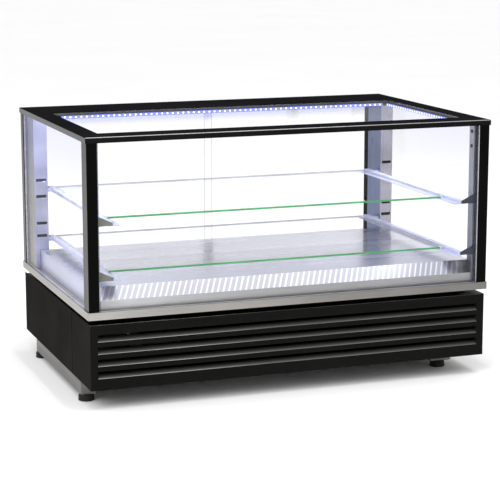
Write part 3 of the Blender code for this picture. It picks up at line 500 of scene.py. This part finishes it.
def pane(name, tint, clear=GLASS_VEIL, mirror=GLASS_MIRROR):
    """Clear glass: see-through face on, and mirroring more the flatter it is looked along."""
    made = finish(name, tint, 0.02, 1.0)
    facing = add(made, "LayerWeight", Blend=0.5).outputs["Facing"]
    steep = compute(made, "POWER", facing, 5.0)
    smears = noise(made, 9.0, detail=5.0)
    link(made, between(made, steep, clear, mirror, 0.0, 1.0), "Alpha")
    link(made, between(made, smears, 0.012, 0.045), "Roughness")
    return made


def hazed_pane(name, tint, strength, reach, mirror):
    """A pane that stands behind the lamps: their light hangs in its upper part as a lilac haze."""
    made = pane(name, tint, GLASS_VEIL, mirror)
    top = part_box("led_strip_rear")[0].z
    haze = between(made, place_along(made, "Z"), 0.0, 1.0, top - reach, top)
    veil = between(made, haze, 0.0, strength, 0.0, 1.0)
    link(made, compute(made, "ADD", linked_to(made, "Alpha"), veil, True), "Alpha")
    link(made, shades(made, haze, tint, HAZE_LILAC, 0.0, 0.4), "Base Color")
    return made


def glowing(material, colour, strength):
    """Let a material give off light of its own."""
    shader = material.node_tree.nodes["Principled BSDF"]
    shader.inputs["Emission Color"].default_value = (*colour, 1.0)
    shader.inputs["Emission Strength"].default_value = strength
    return material


def glass_edge(name, colour, glow):
    """The polished edge of a pane, which gathers the lamps' light."""
    made = finish(name, colour, 0.12)
    bands = noise(made, 14.0, (1, 1, 6), 3.0)
    link(made, shades(made, bands, scaled(colour, 0.75), scaled(colour, 1.25)), "Base Color")
    return glowing(made, colour, glow)


def lamp(name, colour, strength):
    """A lit lens or tape."""
    return glowing(finish(name, colour, 0.4), colour, strength)


def streaked_steel(name, pitch, lean, ends):
    """Bright steel below a row of lamps: their light lies on it as leaning pale streaks, dimmer at
    the left end and lost in shade at the right end."""
    made = finish(name, (0.50, 0.50, 0.56), 0.26, 1.0)
    where = add(made, "TexCoord").outputs["Object"]
    leaning = add(made, "Mapping", Vector=where, Rotation=(0, -lean, 0)).outputs["Vector"]
    # the wave texture makes one band in 2 pi / 20 units at scale 1
    bands = math.pi / 10 / (pitch * math.cos(lean))
    waves = add(made, "TexWave", Vector=leaning, Scale=bands, Distortion=0.0)
    waves.wave_type = "BANDS"
    waves.bands_direction = "X"
    waves.wave_profile = "SIN"
    fade = noise(made, 2.3, (1, 0.2, 0.2), 2.0)
    across = place_along(made, "X")
    shaded = between(made, across, 1.0, 0.0, ends[1] - 0.085, ends[1] - 0.010)
    dim = between(made, across, 0.50, 1.0, ends[0] + 0.01, ends[0] + 0.14)
    strength = compute(made, "MULTIPLY", between(made, fade, 0.55, 1.0), dim)
    light = between(made, waves.outputs["Fac"], 0.0, 1.0, 0.66, 0.98)
    shown = compute(made, "MULTIPLY", light, strength)
    ground = shades(made, fade, (0.37, 0.37, 0.40), (0.49, 0.49, 0.53))
    streaks = mixed(made, shown, ground, (0.84, 0.84, 0.88))
    link(made, mixed(made, shaded, (0.07, 0.07, 0.075), streaks), "Base Color")
    link(made, between(made, shown, 0.36, 0.46, 0.0, 1.0), "Roughness")
    relief(made, noise(made, HAIR_SCALE, (HAIR_STRETCH, 1, 1), 4.0, 0.7), HAIR_DEPTH, 0.2)
    return made


WARM_STEEL = (0.60, 0.575, 0.545)
# Painted light and shade from the case's left end to its right end: the front steel lit at the left
# and shaded at the right, the louvre lips lit at the left, the kick strip lit near its left end.
SHADED_RIGHT = ((0.0, (0.72, 0.72, 0.72)), (0.30, (0.56, 0.56, 0.56)), (0.55, (0.40, 0.40, 0.40)),
                (1.0, (0.34, 0.34, 0.34)))
LIT_LEFT = ((0.0, (0.62, 0.62, 0.60)), (0.22, (0.85, 0.85, 0.82)), (0.45, (0.16, 0.16, 0.15)),
            (0.70, (0.30, 0.30, 0.29)), (1.0, (0.20, 0.20, 0.19)))
KICK_LIGHT_AND_SHADE = ((0.0, (0.40, 0.40, 0.40)), (0.10, (0.78, 0.78, 0.78)), (0.40, (0.52, 0.52, 0.52)),
              (1.0, (0.46, 0.46, 0.47)))
STEEL_X = brushed_steel("stainless brushed along the front", WARM_STEEL, 0.30, "x", 0.12, SHADED_RIGHT)
# painted shade: the worktop's ends, darker than its front
STEEL_SIDE_SHADED = brushed_steel("stainless brushed along the sides, painted darker as shaded", (0.33, 0.315, 0.295), 0.30, "y")
STEEL_UP = brushed_steel("upright steel", (0.29, 0.30, 0.37), 0.34, "z", 0.15)
STEEL_KICK = brushed_steel("kick strip steel", (0.66, 0.66, 0.67), 0.30, "x", 0.06, KICK_LIGHT_AND_SHADE)
# painted light: the deck and its skirt tinted lilac as lit by the lamps
STEEL_DECK_LAMP_LIT = brushed_steel("brushed deck, painted lilac as lit by the lamps", (0.55, 0.56, 0.66), 0.28, "x", 0.12, None, 0.985)
DECK_SIDE_LAMP_LIT = brushed_steel("deck skirt, painted lilac as lit by the lamps", (0.50, 0.51, 0.66), 0.34, "y", 0.10, None, 0.97)
PILLAR_LIT = brushed_steel("pillar face in the lamps' light", (0.60, 0.61, 0.82), 0.28, "z", 0.34)
# painted light: the right pillar's faces, dimmer than the lit left one
PILLAR_DIMMER = brushed_steel("pillar face", (0.40, 0.39, 0.45), 0.30, "z", 0.20)
PILLAR_BLUE = brushed_steel("pillar side in shade", (0.13, 0.16, 0.29), 0.34, "z", 0.20)
# painted shade on the pillars' outer sides
PILLAR_OUTER_SHADED = brushed_steel("pillar outer side in shade", (0.27, 0.26, 0.265), 0.34, "z", 0.12)
STEEL_MILL = brushed_steel("plain mill steel", (0.18, 0.172, 0.165), 0.42, "y")
ZINC = brushed_steel("zinc plated steel", (0.30, 0.30, 0.30), 0.34, "z")
BLACK = powder_coat("black powder coat", (0.0052, 0.0050, 0.0046), 0.44, 0.04)
BLADE_LIGHT_AND_SHADE = louvre_paint("black louvre blade with painted shade and highlight", 0.34)
BLACK_FRAME = powder_coat("black anodised frame", (0.0028, 0.0028, 0.0026), 0.34, 0.02, FINE_PEEL)
# painted light: the posts' sides lighter and glossier than their black fronts
FRAME_SIDE_LIT = powder_coat("black anodised frame side, painted lighter as lit", (0.014, 0.014, 0.013), 0.30, 0.20, FINE_PEEL)
# painted light: the base's sides in its black paint made lighter, as lit
SIDE_PAINT_LIT = powder_coat("charcoal side panel", (0.0185, 0.0175, 0.0165), 0.60, 0.0)
SIDE_JOINT = (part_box("front_louvre_cover")[1].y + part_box("side_panel_left")[0].y) / 2
joint_line(SIDE_PAINT_LIT, SIDE_JOINT, JOINT_SHADE)
# painted highlight along the cover's top front edge
COVER_EDGE_HIGHLIGHT = powder_coat("painted highlight on the cover's top edge", (0.090, 0.090, 0.086), 0.40, 0.20)
# The cap paint in lit and shaded copies: a dull dark top, a darker front and lighter, glossier outer
# sides, for how light falls on them.
CAP_TOP = powder_coat("satin black cap", (0.0080, 0.0080, 0.0090), 0.55, 0.0, FINE_PEEL)
CAP_FRONT = powder_coat("satin black cap front", (0.0065, 0.0065, 0.0062), 0.36, 0.02, FINE_PEEL)
CAP_SIDE_LIT = powder_coat("satin black cap side, painted lighter as lit", (0.014, 0.014, 0.015), 0.26, 0.30, FINE_PEEL)
# painted highlight: bright steel along the cap's front top edge, standing in for its highlight line
ARRIS = brushed_steel("painted highlight on the cap's front arris", (0.38, 0.38, 0.38), 0.25, "x")
# One bracket paint in a shaded and a lit copy: the right gusset painted dark slate as shaded, the left
# grey green as lit.
SLATE_SHADED = powder_coat("dark slate paint, the brackets' shaded copy", (0.020, 0.025, 0.044), 0.40, 0.15)
GREY_GREEN_LIT = powder_coat("grey green paint, the brackets' lit copy", (0.14, 0.145, 0.125), 0.40, 0.20)
RAIL_PALE = powder_coat("pale shelf rail", (0.46, 0.48, 0.66), 0.28, 0.30, FINE_PEEL)
SLOT_NAVY = powder_coat("shaded inside of a pillar", (0.016, 0.020, 0.13), 0.6, 0.05)
RUBBER = moulded("black rubber", (0.004, 0.004, 0.004), 0.75, 0.00020)
PLASTIC = moulded("black moulded plastic", (0.016, 0.016, 0.017), 0.48)
PLASTIC_PALE = moulded("clear corner buffer", (0.70, 0.76, 0.76), 0.30)
DIAL_WHITE = moulded("white dial print", (0.75, 0.75, 0.73), 0.55, FINE_PEEL)
NEON_RED = lamp("red switch lens", (0.60, 0.03, 0.015), 0.15)
NEON_GREEN = lamp("green switch lens", (0.02, 0.40, 0.08), 0.15)
SHEATH = brushed_steel("heat tinted sheath", (0.20, 0.17, 0.14), 0.45, "x")
INSIDE_DARK = powder_coat("dark base interior", (0.004, 0.004, 0.004), 0.7, 0.1)
CLEAR = pane("clear float glass", (0.97, 0.98, 0.99))
CLEAR_TOP = pane("clear top glass", (0.97, 0.98, 0.99), 0.008, 0.10)
CLEAR_DOOR = hazed_pane("clear door glass", (0.97, 0.98, 0.99), 0.50, DOOR_HAZE, GLASS_MIRROR)
CLEAR_SIDE = hazed_pane("clear side glass", (0.96, 0.97, 0.99), 0.12, SIDE_HAZE, 0.08)
SHELF_CLEAR = pane("clear shelf glass", (0.90, 0.91, 0.98), 0.05)
EDGE_GREEN = glass_edge("green shelf edge", (0.035, 0.30, 0.09), 0.12)
EDGE_DARK = glass_edge("shaded glass edge", (0.012, 0.014, 0.035), 0.0)
EDGE_PALE = glass_edge("pale glass edge", (0.42, 0.44, 0.50), 0.05)
TAPE_BLUE = lamp("blue lit lamp tape", (0.14, 0.18, 0.85), 0.60)
LAMP_BODY = moulded("white lamp body", (0.80, 0.82, 0.90), 0.35, 0.00002)
LAMP_WHITE = lamp("lit lamp lens", (0.90, 0.93, 1.0), 2.0)


# ---------------------------------------------------------------- base
def make_base():
    cover = softened("front_louvre_cover", BLACK, COVER_EDGE, "black_paint")
    # painted light: the cover's sides take the lighter side paint
    paint(cover, SIDE_PAINT_LIT, lambda centre, normal: abs(normal.x) > 0.8)
    low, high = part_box("front_louvre_cover")
    # painted highlight on the cover's rounded top front edge
    paint(cover, COVER_EDGE_HIGHLIGHT, lambda centre, normal: normal.z > 0.2 and normal.y < -0.2
          and centre.z > high.z - 0.002 and centre.y < low.y + 0.002)
    # the blades' faces take the black paint with painted shade and a painted lip highlight
    paint(cover, BLADE_LIGHT_AND_SHADE, lambda centre, normal: -0.8 < normal.y < -0.5 and normal.z > 0.6)
    # the side panels in the same lighter side paint, painted as lit
    for name, _ in SIDES:
        softened("side_panel_" + name, SIDE_PAINT_LIT, SHEET_EDGE, "charcoal_paint")
    softened("rear_service_panel", BLACK, SHEET_EDGE, "black_paint", 2)
    softened("base_lid", BLACK, THIN_EDGE, "black_paint", 1)
    paint_node("base_floor", INSIDE_DARK)
    softened("chassis_plinth", STEEL_MILL, SMALL_EDGE, "plinth_steel", 2)
    for row in ("front", "rear"):
        softened("neck_rail_" + row, BLACK, SHEET_EDGE, "black_paint", 2)


def paint_node(node, material):
    """Give a node that stays as it is a better material."""
    for slot in NODES[node].material_slots:
        slot.material = material


def make_feet():
    """Rubber feet with a grip groove round the middle."""
    for row in ("front", "rear"):
        for column, _ in SIDES:
            node = "foot_" + row + "_" + column
            foot = softened(node, RUBBER, RIM_EDGE, "rubber", 3, 20)
            low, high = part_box(node)
            middle = (low.z + high.z) / 2
            edit(foot)
            select_faces(foot, lambda centre, normal: abs(normal.z) < 0.3
                         and abs(centre.z - middle) < 0.004)
            bpy.ops.mesh.inset(thickness=0.0012, depth=-RIM_EDGE, use_boundary=True)
            done(foot)


# ---------------------------------------------------------------- worktop, deck and riser
def make_worktop():
    top = softened("stainless_worktop", STEEL_X, RIM_EDGE, "stainless")
    # painted shade on the worktop's ends
    paint(top, STEEL_SIDE_SHADED, lambda centre, normal: abs(normal.x) > 0.7)
    # painted lamp light on the deck and its skirt
    deck = softened("heated_deck", STEEL_DECK_LAMP_LIT, DECK_EDGE, "bright_stainless")
    paint(deck, DECK_SIDE_LAMP_LIT, lambda centre, normal: abs(normal.x) > 0.7)
    low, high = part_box("front_riser")
    riser = softened("front_riser", STEEL_KICK, COVER_EDGE, "bright_stainless")
    slope = streaked_steel("steel under the front lamps", LAMP_PITCH, STREAK_LEAN, (low.x, high.x))
    paint(riser, slope, lambda centre, normal: normal.y < -0.3 and normal.z > 0.3)


# ---------------------------------------------------------------- frame and cap
def make_frame():
    def sideways(centre, normal):
        return abs(normal.x) > 0.8

    for name, side in SIDES:
        for row in ("front", "rear"):
            post = softened(row + "_post_" + name, BLACK_FRAME, SHEET_EDGE, "black_paint", 2)
            # painted light on the posts' sides
            paint(post, FRAME_SIDE_LIT, sideways)
        softened("front_upright_" + name, STEEL_UP, DECK_EDGE, "stainless")
        make_pillar(name, side)


def make_pillar(name, side):
    """A slotted pillar in painted light and shade: bright where the lamps reach it, dimmer on the
    right pillar, darker on its outer and inner sides, and dark inside its tube.
    """
    node = "slotted_pillar_" + name
    low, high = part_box(node)
    pillar = softened(node, SLOT_NAVY, MOULD_EDGE, "stainless")

    def outside(centre):
        return any(min(centre[axis] - low[axis], high[axis] - centre[axis]) < SKIN_DEPTH
                   for axis in range(3))

    paint(pillar, PILLAR_LIT if side < 0 else PILLAR_DIMMER, lambda centre, normal: outside(centre))
    paint(pillar, PILLAR_OUTER_SHADED, lambda centre, normal: normal.x * side > 0.8 and outside(centre))
    paint(pillar, PILLAR_BLUE, lambda centre, normal: normal.x * side < -0.8 and outside(centre))


def make_cap():
    low, high = cad_box

    def outer_face(centre, normal):
        return abs(normal.x) > 0.8 and min(centre.x - low[0], high[0] - centre.x) < 0.003

    for name in ("front", "rear", "left", "right"):
        beam = softened("cap_beam_" + name, CAP_TOP, SHEET_EDGE, "cap_black", 2)
        # painted light: the cap's outer sides lighter and glossier
        paint(beam, CAP_SIDE_LIT, outer_face)
        if name == "front":
            paint(beam, CAP_FRONT, lambda centre, normal: normal.y < -0.9)
            # painted highlight along the front beam's top edge
            paint(beam, ARRIS, lambda centre, normal: normal.y < -0.2 and normal.z > 0.2
                  and centre.y < low[1] + 0.003 and centre.z > high[2] - 0.003)


# ---------------------------------------------------------------- glass
def make_panes():
    make_pane("top_glass", "case", CLEAR_TOP, EDGE_DARK)
    make_pane("front_glass", "case", CLEAR)
    for name, _ in SIDES:
        make_pane("side_glass_" + name, "case", CLEAR_SIDE)
        make_pane("rear_door_glass_" + name, name + "_door", CLEAR_DOOR)


def make_pane(node, body, face_paint, edge_paint=EDGE_PALE):
    """A pane with a ground arris on every edge, and its edges in their own tone."""
    low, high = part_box(node)
    sheet = slab(node + "_pane", low, high)
    round_edges(sheet, GLASS_ARRIS, 2, 30)
    size = high - low
    thin = min(range(3), key=lambda axis: size[axis])
    paint(sheet, face_paint)
    paint(sheet, edge_paint, lambda centre, normal: abs(normal[thin]) < 0.5)
    return place(sheet, body, "clear_glass", node)


def make_shelves():
    for level in ("upper", "lower"):
        node = level + "_shelf_glass"
        low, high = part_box(node)
        sheet = slab(node + "_pane", low, high)
        edit(sheet, "EDGE")
        select_edges(sheet, lambda one, other: abs(one.z - other.z) > 0.001)
        bpy.ops.mesh.bevel(offset=SHELF_CORNER, segments=6)
        done(sheet)
        round_edges(sheet, GLASS_ARRIS, 2, 60)
        paint(sheet, SHELF_CLEAR)
        paint(sheet, EDGE_PALE, lambda centre, normal: abs(normal.z) < 0.5)
        paint(sheet, EDGE_GREEN, lambda centre, normal: abs(normal.z) < 0.5 and normal.y < -0.3)
        place(sheet, "case", "shelf_glass", node)
        for name, side in SIDES:
            arm = softened(level + "_shelf_arm_" + name, RAIL_PALE, SMALL_EDGE, "bracket_slate", 2)
            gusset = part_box(level + "_shelf_arm_" + name)[0].y + 0.0032
            # painted light and shade: the left gusset lit, the right one shaded
            paint(arm, GREY_GREEN_LIT if side < 0 else SLATE_SHADED,
                  lambda centre, normal: centre.y < gusset and abs(centre.x) > high.x + 0.004)
            make_buffer(level, name, side, low, high)


def make_buffer(level, name, side, low, high):
    """A clear bumper clipped over a front corner of the shelf."""
    x = high.x if side > 0 else low.x
    inner = x - side * BUFFER_LENGTH
    corner = slab(level + "_shelf_buffer_" + name,
                  (min(x, inner), low.y - BUFFER_WALL, low.z - BUFFER_WALL * 0.15),
                  (max(x, inner), low.y + BUFFER_LENGTH, high.z + BUFFER_WALL))
    round_edges(corner, RIM_EDGE, 3, 30)
    edit(corner)
    select_faces(corner, lambda centre, normal: normal.z > 0.9)
    bpy.ops.mesh.inset(thickness=0.0012, depth=0.0004)
    done(corner)
    paint(corner, PLASTIC_PALE)
    place(corner, "case", "black_plastic")


# ---------------------------------------------------------------- lamps
def lamp_run(name, node, length_axis, face_axis):
    """A lamp tape on its face: a strip with a lamp at every pitch."""
    low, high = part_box(node)
    along = "xyz".index(length_axis)
    out = Vector(face_axis)
    face = [axis for axis in range(3) if abs(out[axis]) > 0.5][0]
    wide = 3 - along - face
    back = low[face] if out[face] > 0 else high[face]
    front = back + out[face] * TAPE_THICK
    tape_low = Vector(low)
    tape_high = Vector(high)
    tape_low[face] = min(back, front)
    tape_high[face] = max(back, front)
    tape = slab(name + "_tape", tape_low, tape_high)
    round_edges(tape, THIN_EDGE, 2)
    paint(tape, TAPE_BLUE)
    place(tape, "case", "lamp_diffuser", node)
    centre = (low + high) / 2
    half = Vector((0, 0, 0))
    half[along] = LAMP_SIZE / 2
    half[wide] = LAMP_SIZE / 2
    half[face] = LAMP_PROUD / 2
    count = int((high[along] - low[along] - LAMP_SIZE) / LAMP_PITCH) + 1
    first = Vector(centre)
    first[along] = centre[along] - (count - 1) * LAMP_PITCH / 2
    first[face] = front + out[face] * (LAMP_PROUD / 2 + LAMP_GAP)
    chip = slab(name + "_lamps", first - half, first + half)
    edit(chip)
    select_faces(chip, lambda middle, normal: normal.dot(out) > 0.9)
    bpy.ops.mesh.inset(thickness=(LAMP_SIZE - LAMP_LENS) / 2, depth=0.0)
    bpy.ops.mesh.extrude_region_move(TRANSFORM_OT_translate={"value": out * -LENS_SUNK})
    done(chip)
    paint(chip, LAMP_BODY)
    level = (first + out * (LAMP_PROUD / 2)).dot(out) - 0.0002
    paint(chip, LAMP_WHITE, lambda middle, normal: normal.dot(out) > 0.9 and middle.dot(out) < level)
    chips = [chip]
    for i in range(1, count):
        step = Vector((0, 0, 0))
        step[along] = LAMP_PITCH * i
        chips.append(copy_of(chip, step))
    row = join(name + "_lamps", chips)
    place(row, "case", "lamp_diffuser")


def make_lamps():
    lamp_run("rear_lamp", "led_strip_rear", "x", (0, -1, 0))
    lamp_run("left_lamp", "led_strip_left", "y", (1, 0, 0))
    lamp_run("right_lamp", "led_strip_right", "y", (-1, 0, 0))
    lamp_run("front_lamp", "led_strip_front", "x", (0, 0, -1))


# ---------------------------------------------------------------- rear doors, tracks and controls
def make_doors():
    softened("door_track_lower", STEEL_X, THIN_EDGE, "stainless", 2)
    softened("door_track_upper", BLACK_FRAME, THIN_EDGE, "black_paint", 2)
    for name, _ in SIDES:
        softened("rear_door_stile_" + name, BLACK_FRAME, THIN_EDGE, "black_paint", 2)
        softened("rear_door_handle_" + name, PLASTIC, SHEET_EDGE, "black_plastic", 2)


def screw(name, place_at, axis, body, material, size=1.0):
    """A pan head screw with a round socket."""
    head = rod(name, place_at, SCREW_RADIUS * size, SCREW_PROUD * size, axis, 20)
    sink(head, axis, (SCREW_RADIUS - SCREW_SOCKET) * size, SCREW_PROUD * size * 0.7)
    round_edges(head, 0.00035, 2, 40)
    paint(head, material)
    place(head, body, "stainless")


def make_screws():
    """Screws along the service panel's edges and at the top of the uprights."""
    low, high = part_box("rear_service_panel")
    run = high.x - low.x - PANEL_SCREW_IN * 4
    for row, z in (("low", low.z + PANEL_SCREW_IN), ("high", high.z - PANEL_SCREW_IN)):
        for i in range(PANEL_SCREWS):
            x = low.x + PANEL_SCREW_IN * 2 + run * i / (PANEL_SCREWS - 1)
            screw("panel_screw_" + row + "_" + str(i + 1), (x, high.y, z), (0, 1, 0), "case", ZINC)
    for name, side in SIDES:
        low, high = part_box("front_upright_" + name)
        middle = (low.y + high.y) / 2
        inner = high.x if side < 0 else low.x
        for row, drop in UPRIGHT_SCREWS:
            screw("upright_screw_" + name + "_" + row, (inner, middle, high.z - drop), (-side, 0, 0),
                  "case", SLATE_SHADED, UPRIGHT_SCREW_SIZE)


def make_controls():
    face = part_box("rear_service_panel")[1].y
    softened("thermostat", PLASTIC, 0.0010, "black_plastic", 2)
    make_knob(face)
    make_switch("heat_switch", "heat_rocker", NEON_RED, face)
    make_switch("light_switch", "light_rocker", NEON_GREEN, face)
    softened("cable_gland", PLASTIC, MOULD_EDGE, "black_plastic", 2)
    softened("fan_frame", PLASTIC, MOULD_EDGE, "black_plastic", 2)
    softened("fan_rotor", PLASTIC, SHEET_EDGE, "black_plastic", 2, 50)
    softened("led_driver", STEEL_X, DECK_EDGE, "stainless", 2)
    paint_node("heater_element", SHEATH)


def make_knob(face):
    """The knob with its pointer line, and the plain dots round it on the panel."""
    softened("thermostat_knob", PLASTIC, SMALL_EDGE, "black_plastic", 2)
    low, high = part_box("thermostat_knob")
    centre = Vector(((low.x + high.x) / 2, high.y, (low.z + high.z) / 2))
    line = slab("knob_pointer_line", (centre.x - 0.0006, high.y - 0.0004, centre.z + 0.004),
                (centre.x + 0.0006, high.y + 0.0002, centre.z + 0.0125))
    round_edges(line, 0.0002, 2)
    paint(line, DIAL_WHITE)
    place(line, "knob", "black_plastic")
    radius = (high.x - low.x) / 2 + MARK_CLEAR
    pieces = []
    for i in range(KNOB_MARKS):
        angle = math.radians(90 + 270 * i / (KNOB_MARKS - 1))
        spot = (centre.x + radius * math.cos(angle), face, centre.z + radius * math.sin(angle))
        size = 0.0007 + 0.0001 * i
        pieces.append(rod("dial_dot_" + str(i), spot, size, THIN_EDGE, (0, 1, 0), 14))
    dots = join("dial_marks", pieces)
    modify(dots, "BEVEL", width=0.0001, segments=1, limit_method="ANGLE")
    paint(dots, DIAL_WHITE)
    place(dots, "case", "black_plastic")


def make_switch(node, body, lens, face):
    """The rocker, and the flanged surround that it sits in."""
    rocker = softened(node, PLASTIC, SMALL_EDGE, "black_plastic", 2)
    paint(rocker, lens, lambda centre, normal: normal.y > 0.7)
    low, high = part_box(node)
    x = (low.x + high.x) / 2
    z = (low.z + high.z) / 2
    half_x = (high.x - low.x) / 2 + SWITCH_RIM
    half_z = (high.z - low.z) / 2 + SWITCH_RIM
    surround = slab(node + "_surround", (x - half_x, face, z - half_z),
                    (x + half_x, face + SWITCH_PROUD, z + half_z))
    edit(surround)
    select_faces(surround, lambda centre, normal: abs(normal.y) > 0.9)
    bpy.ops.mesh.inset(thickness=SWITCH_RIM - 0.0009, use_individual=True)
    bpy.ops.mesh.bridge_edge_loops()
    done(surround)
    round_edges(surround, SMALL_EDGE, 2, 30)
    paint(surround, PLASTIC)
    place(surround, "case", "black_plastic")


# ---------------------------------------------------------------- stage, light and camera
def area_light(name, place_at, target, size, power, colour=(1, 1, 1)):
    data = bpy.data.lights.new(name, "AREA")
    data.shape = "RECTANGLE"
    data.size = size[0]
    data.size_y = size[1]
    data.energy = power
    data.color = colour
    lit = bpy.data.objects.new(name, data)
    lit.location = place_at
    direction = Vector(target) - Vector(place_at)
    lit.rotation_euler = direction.to_track_quat("-Z", "Y").to_euler()
    bpy.context.scene.collection.objects.link(lit)


def make_stage():
    deselect_all()
    bpy.ops.mesh.primitive_plane_add(size=120.0, location=(0, 0, 0))
    floor = bpy.context.object
    floor.name = "pale_floor"
    ground = finish("pale floor", (0.90, 0.90, 0.90), 0.9, 0.0, 0.1)
    tone = noise(ground, 0.8, detail=2.0)
    link(ground, shades(ground, tone, (0.89, 0.89, 0.89), (0.91, 0.91, 0.91)), "Base Color")
    paint(floor, ground)
    world = bpy.data.worlds.new("studio")
    world.use_nodes = True
    sky = world.node_tree.nodes["Background"]
    sky.inputs["Color"].default_value = (1.0, 1.0, 1.0, 1.0)
    sky.inputs["Strength"].default_value = SKY_LIGHT
    bpy.context.scene.world = world
    bpy.context.scene.view_settings.view_transform = "Standard"
    area_light("softbox_left", (-3.2, -2.6, 3.0), (-0.3, 0.0, 0.3), (2.2, 2.2), SOFTBOX_POWER)
    area_light("softbox_top", (0.4, -0.6, 4.2), (0.4, 0.0, 0.4), (3.0, 2.0), SOFTBOX_POWER)
    light_cabin()


def light_cabin():
    """The light that the lamp tapes throw on the deck, from thin areas beside them."""
    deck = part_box("heated_deck")[1].z
    low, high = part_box("led_strip_rear")
    width = high.x - low.x
    area_light("rear_lamp_light", (0, low.y - 0.012, low.z - 0.001), (0, low.y - 0.03, deck),
               (width, 0.012), REAR_POWER, COOL_LIGHT)
    low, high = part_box("led_strip_front")
    area_light("front_lamp_light", (0, (low.y + high.y) / 2, low.z - 0.004), (0, high.y + 0.03, deck),
               (width, 0.008), FRONT_POWER, COOL_LIGHT)
    for name, side in SIDES:
        low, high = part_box("led_strip_" + name)
        x = low.x - 0.010 if side > 0 else high.x + 0.010
        y = (low.y + high.y) / 2
        area_light(name + "_lamp_light", (x, y, low.z - 0.001), (x - side * 0.02, y, deck),
                   (high.y - low.y, 0.010), SIDE_POWER, COOL_LIGHT)


def make_camera():
    """Eye height a little above the case, off to its left, looking down 11 degrees."""
    data = bpy.data.cameras.new("camera")
    data.sensor_width = 36.0
    data.lens = CAMERA_LENS
    data.clip_end = 500.0
    seen = bpy.data.objects.new("camera", data)
    seen.location = CAMERA_PLACE
    seen.rotation_euler = (math.radians(90 - CAMERA_DOWN), 0.0, math.radians(-CAMERA_TURN))
    bpy.context.scene.collection.objects.link(seen)
    bpy.context.scene.camera = seen


make_base()
make_feet()
make_worktop()
make_frame()
make_cap()
make_panes()
make_shelves()
make_lamps()
make_doors()
make_screws()
make_controls()
make_stage()
make_camera()
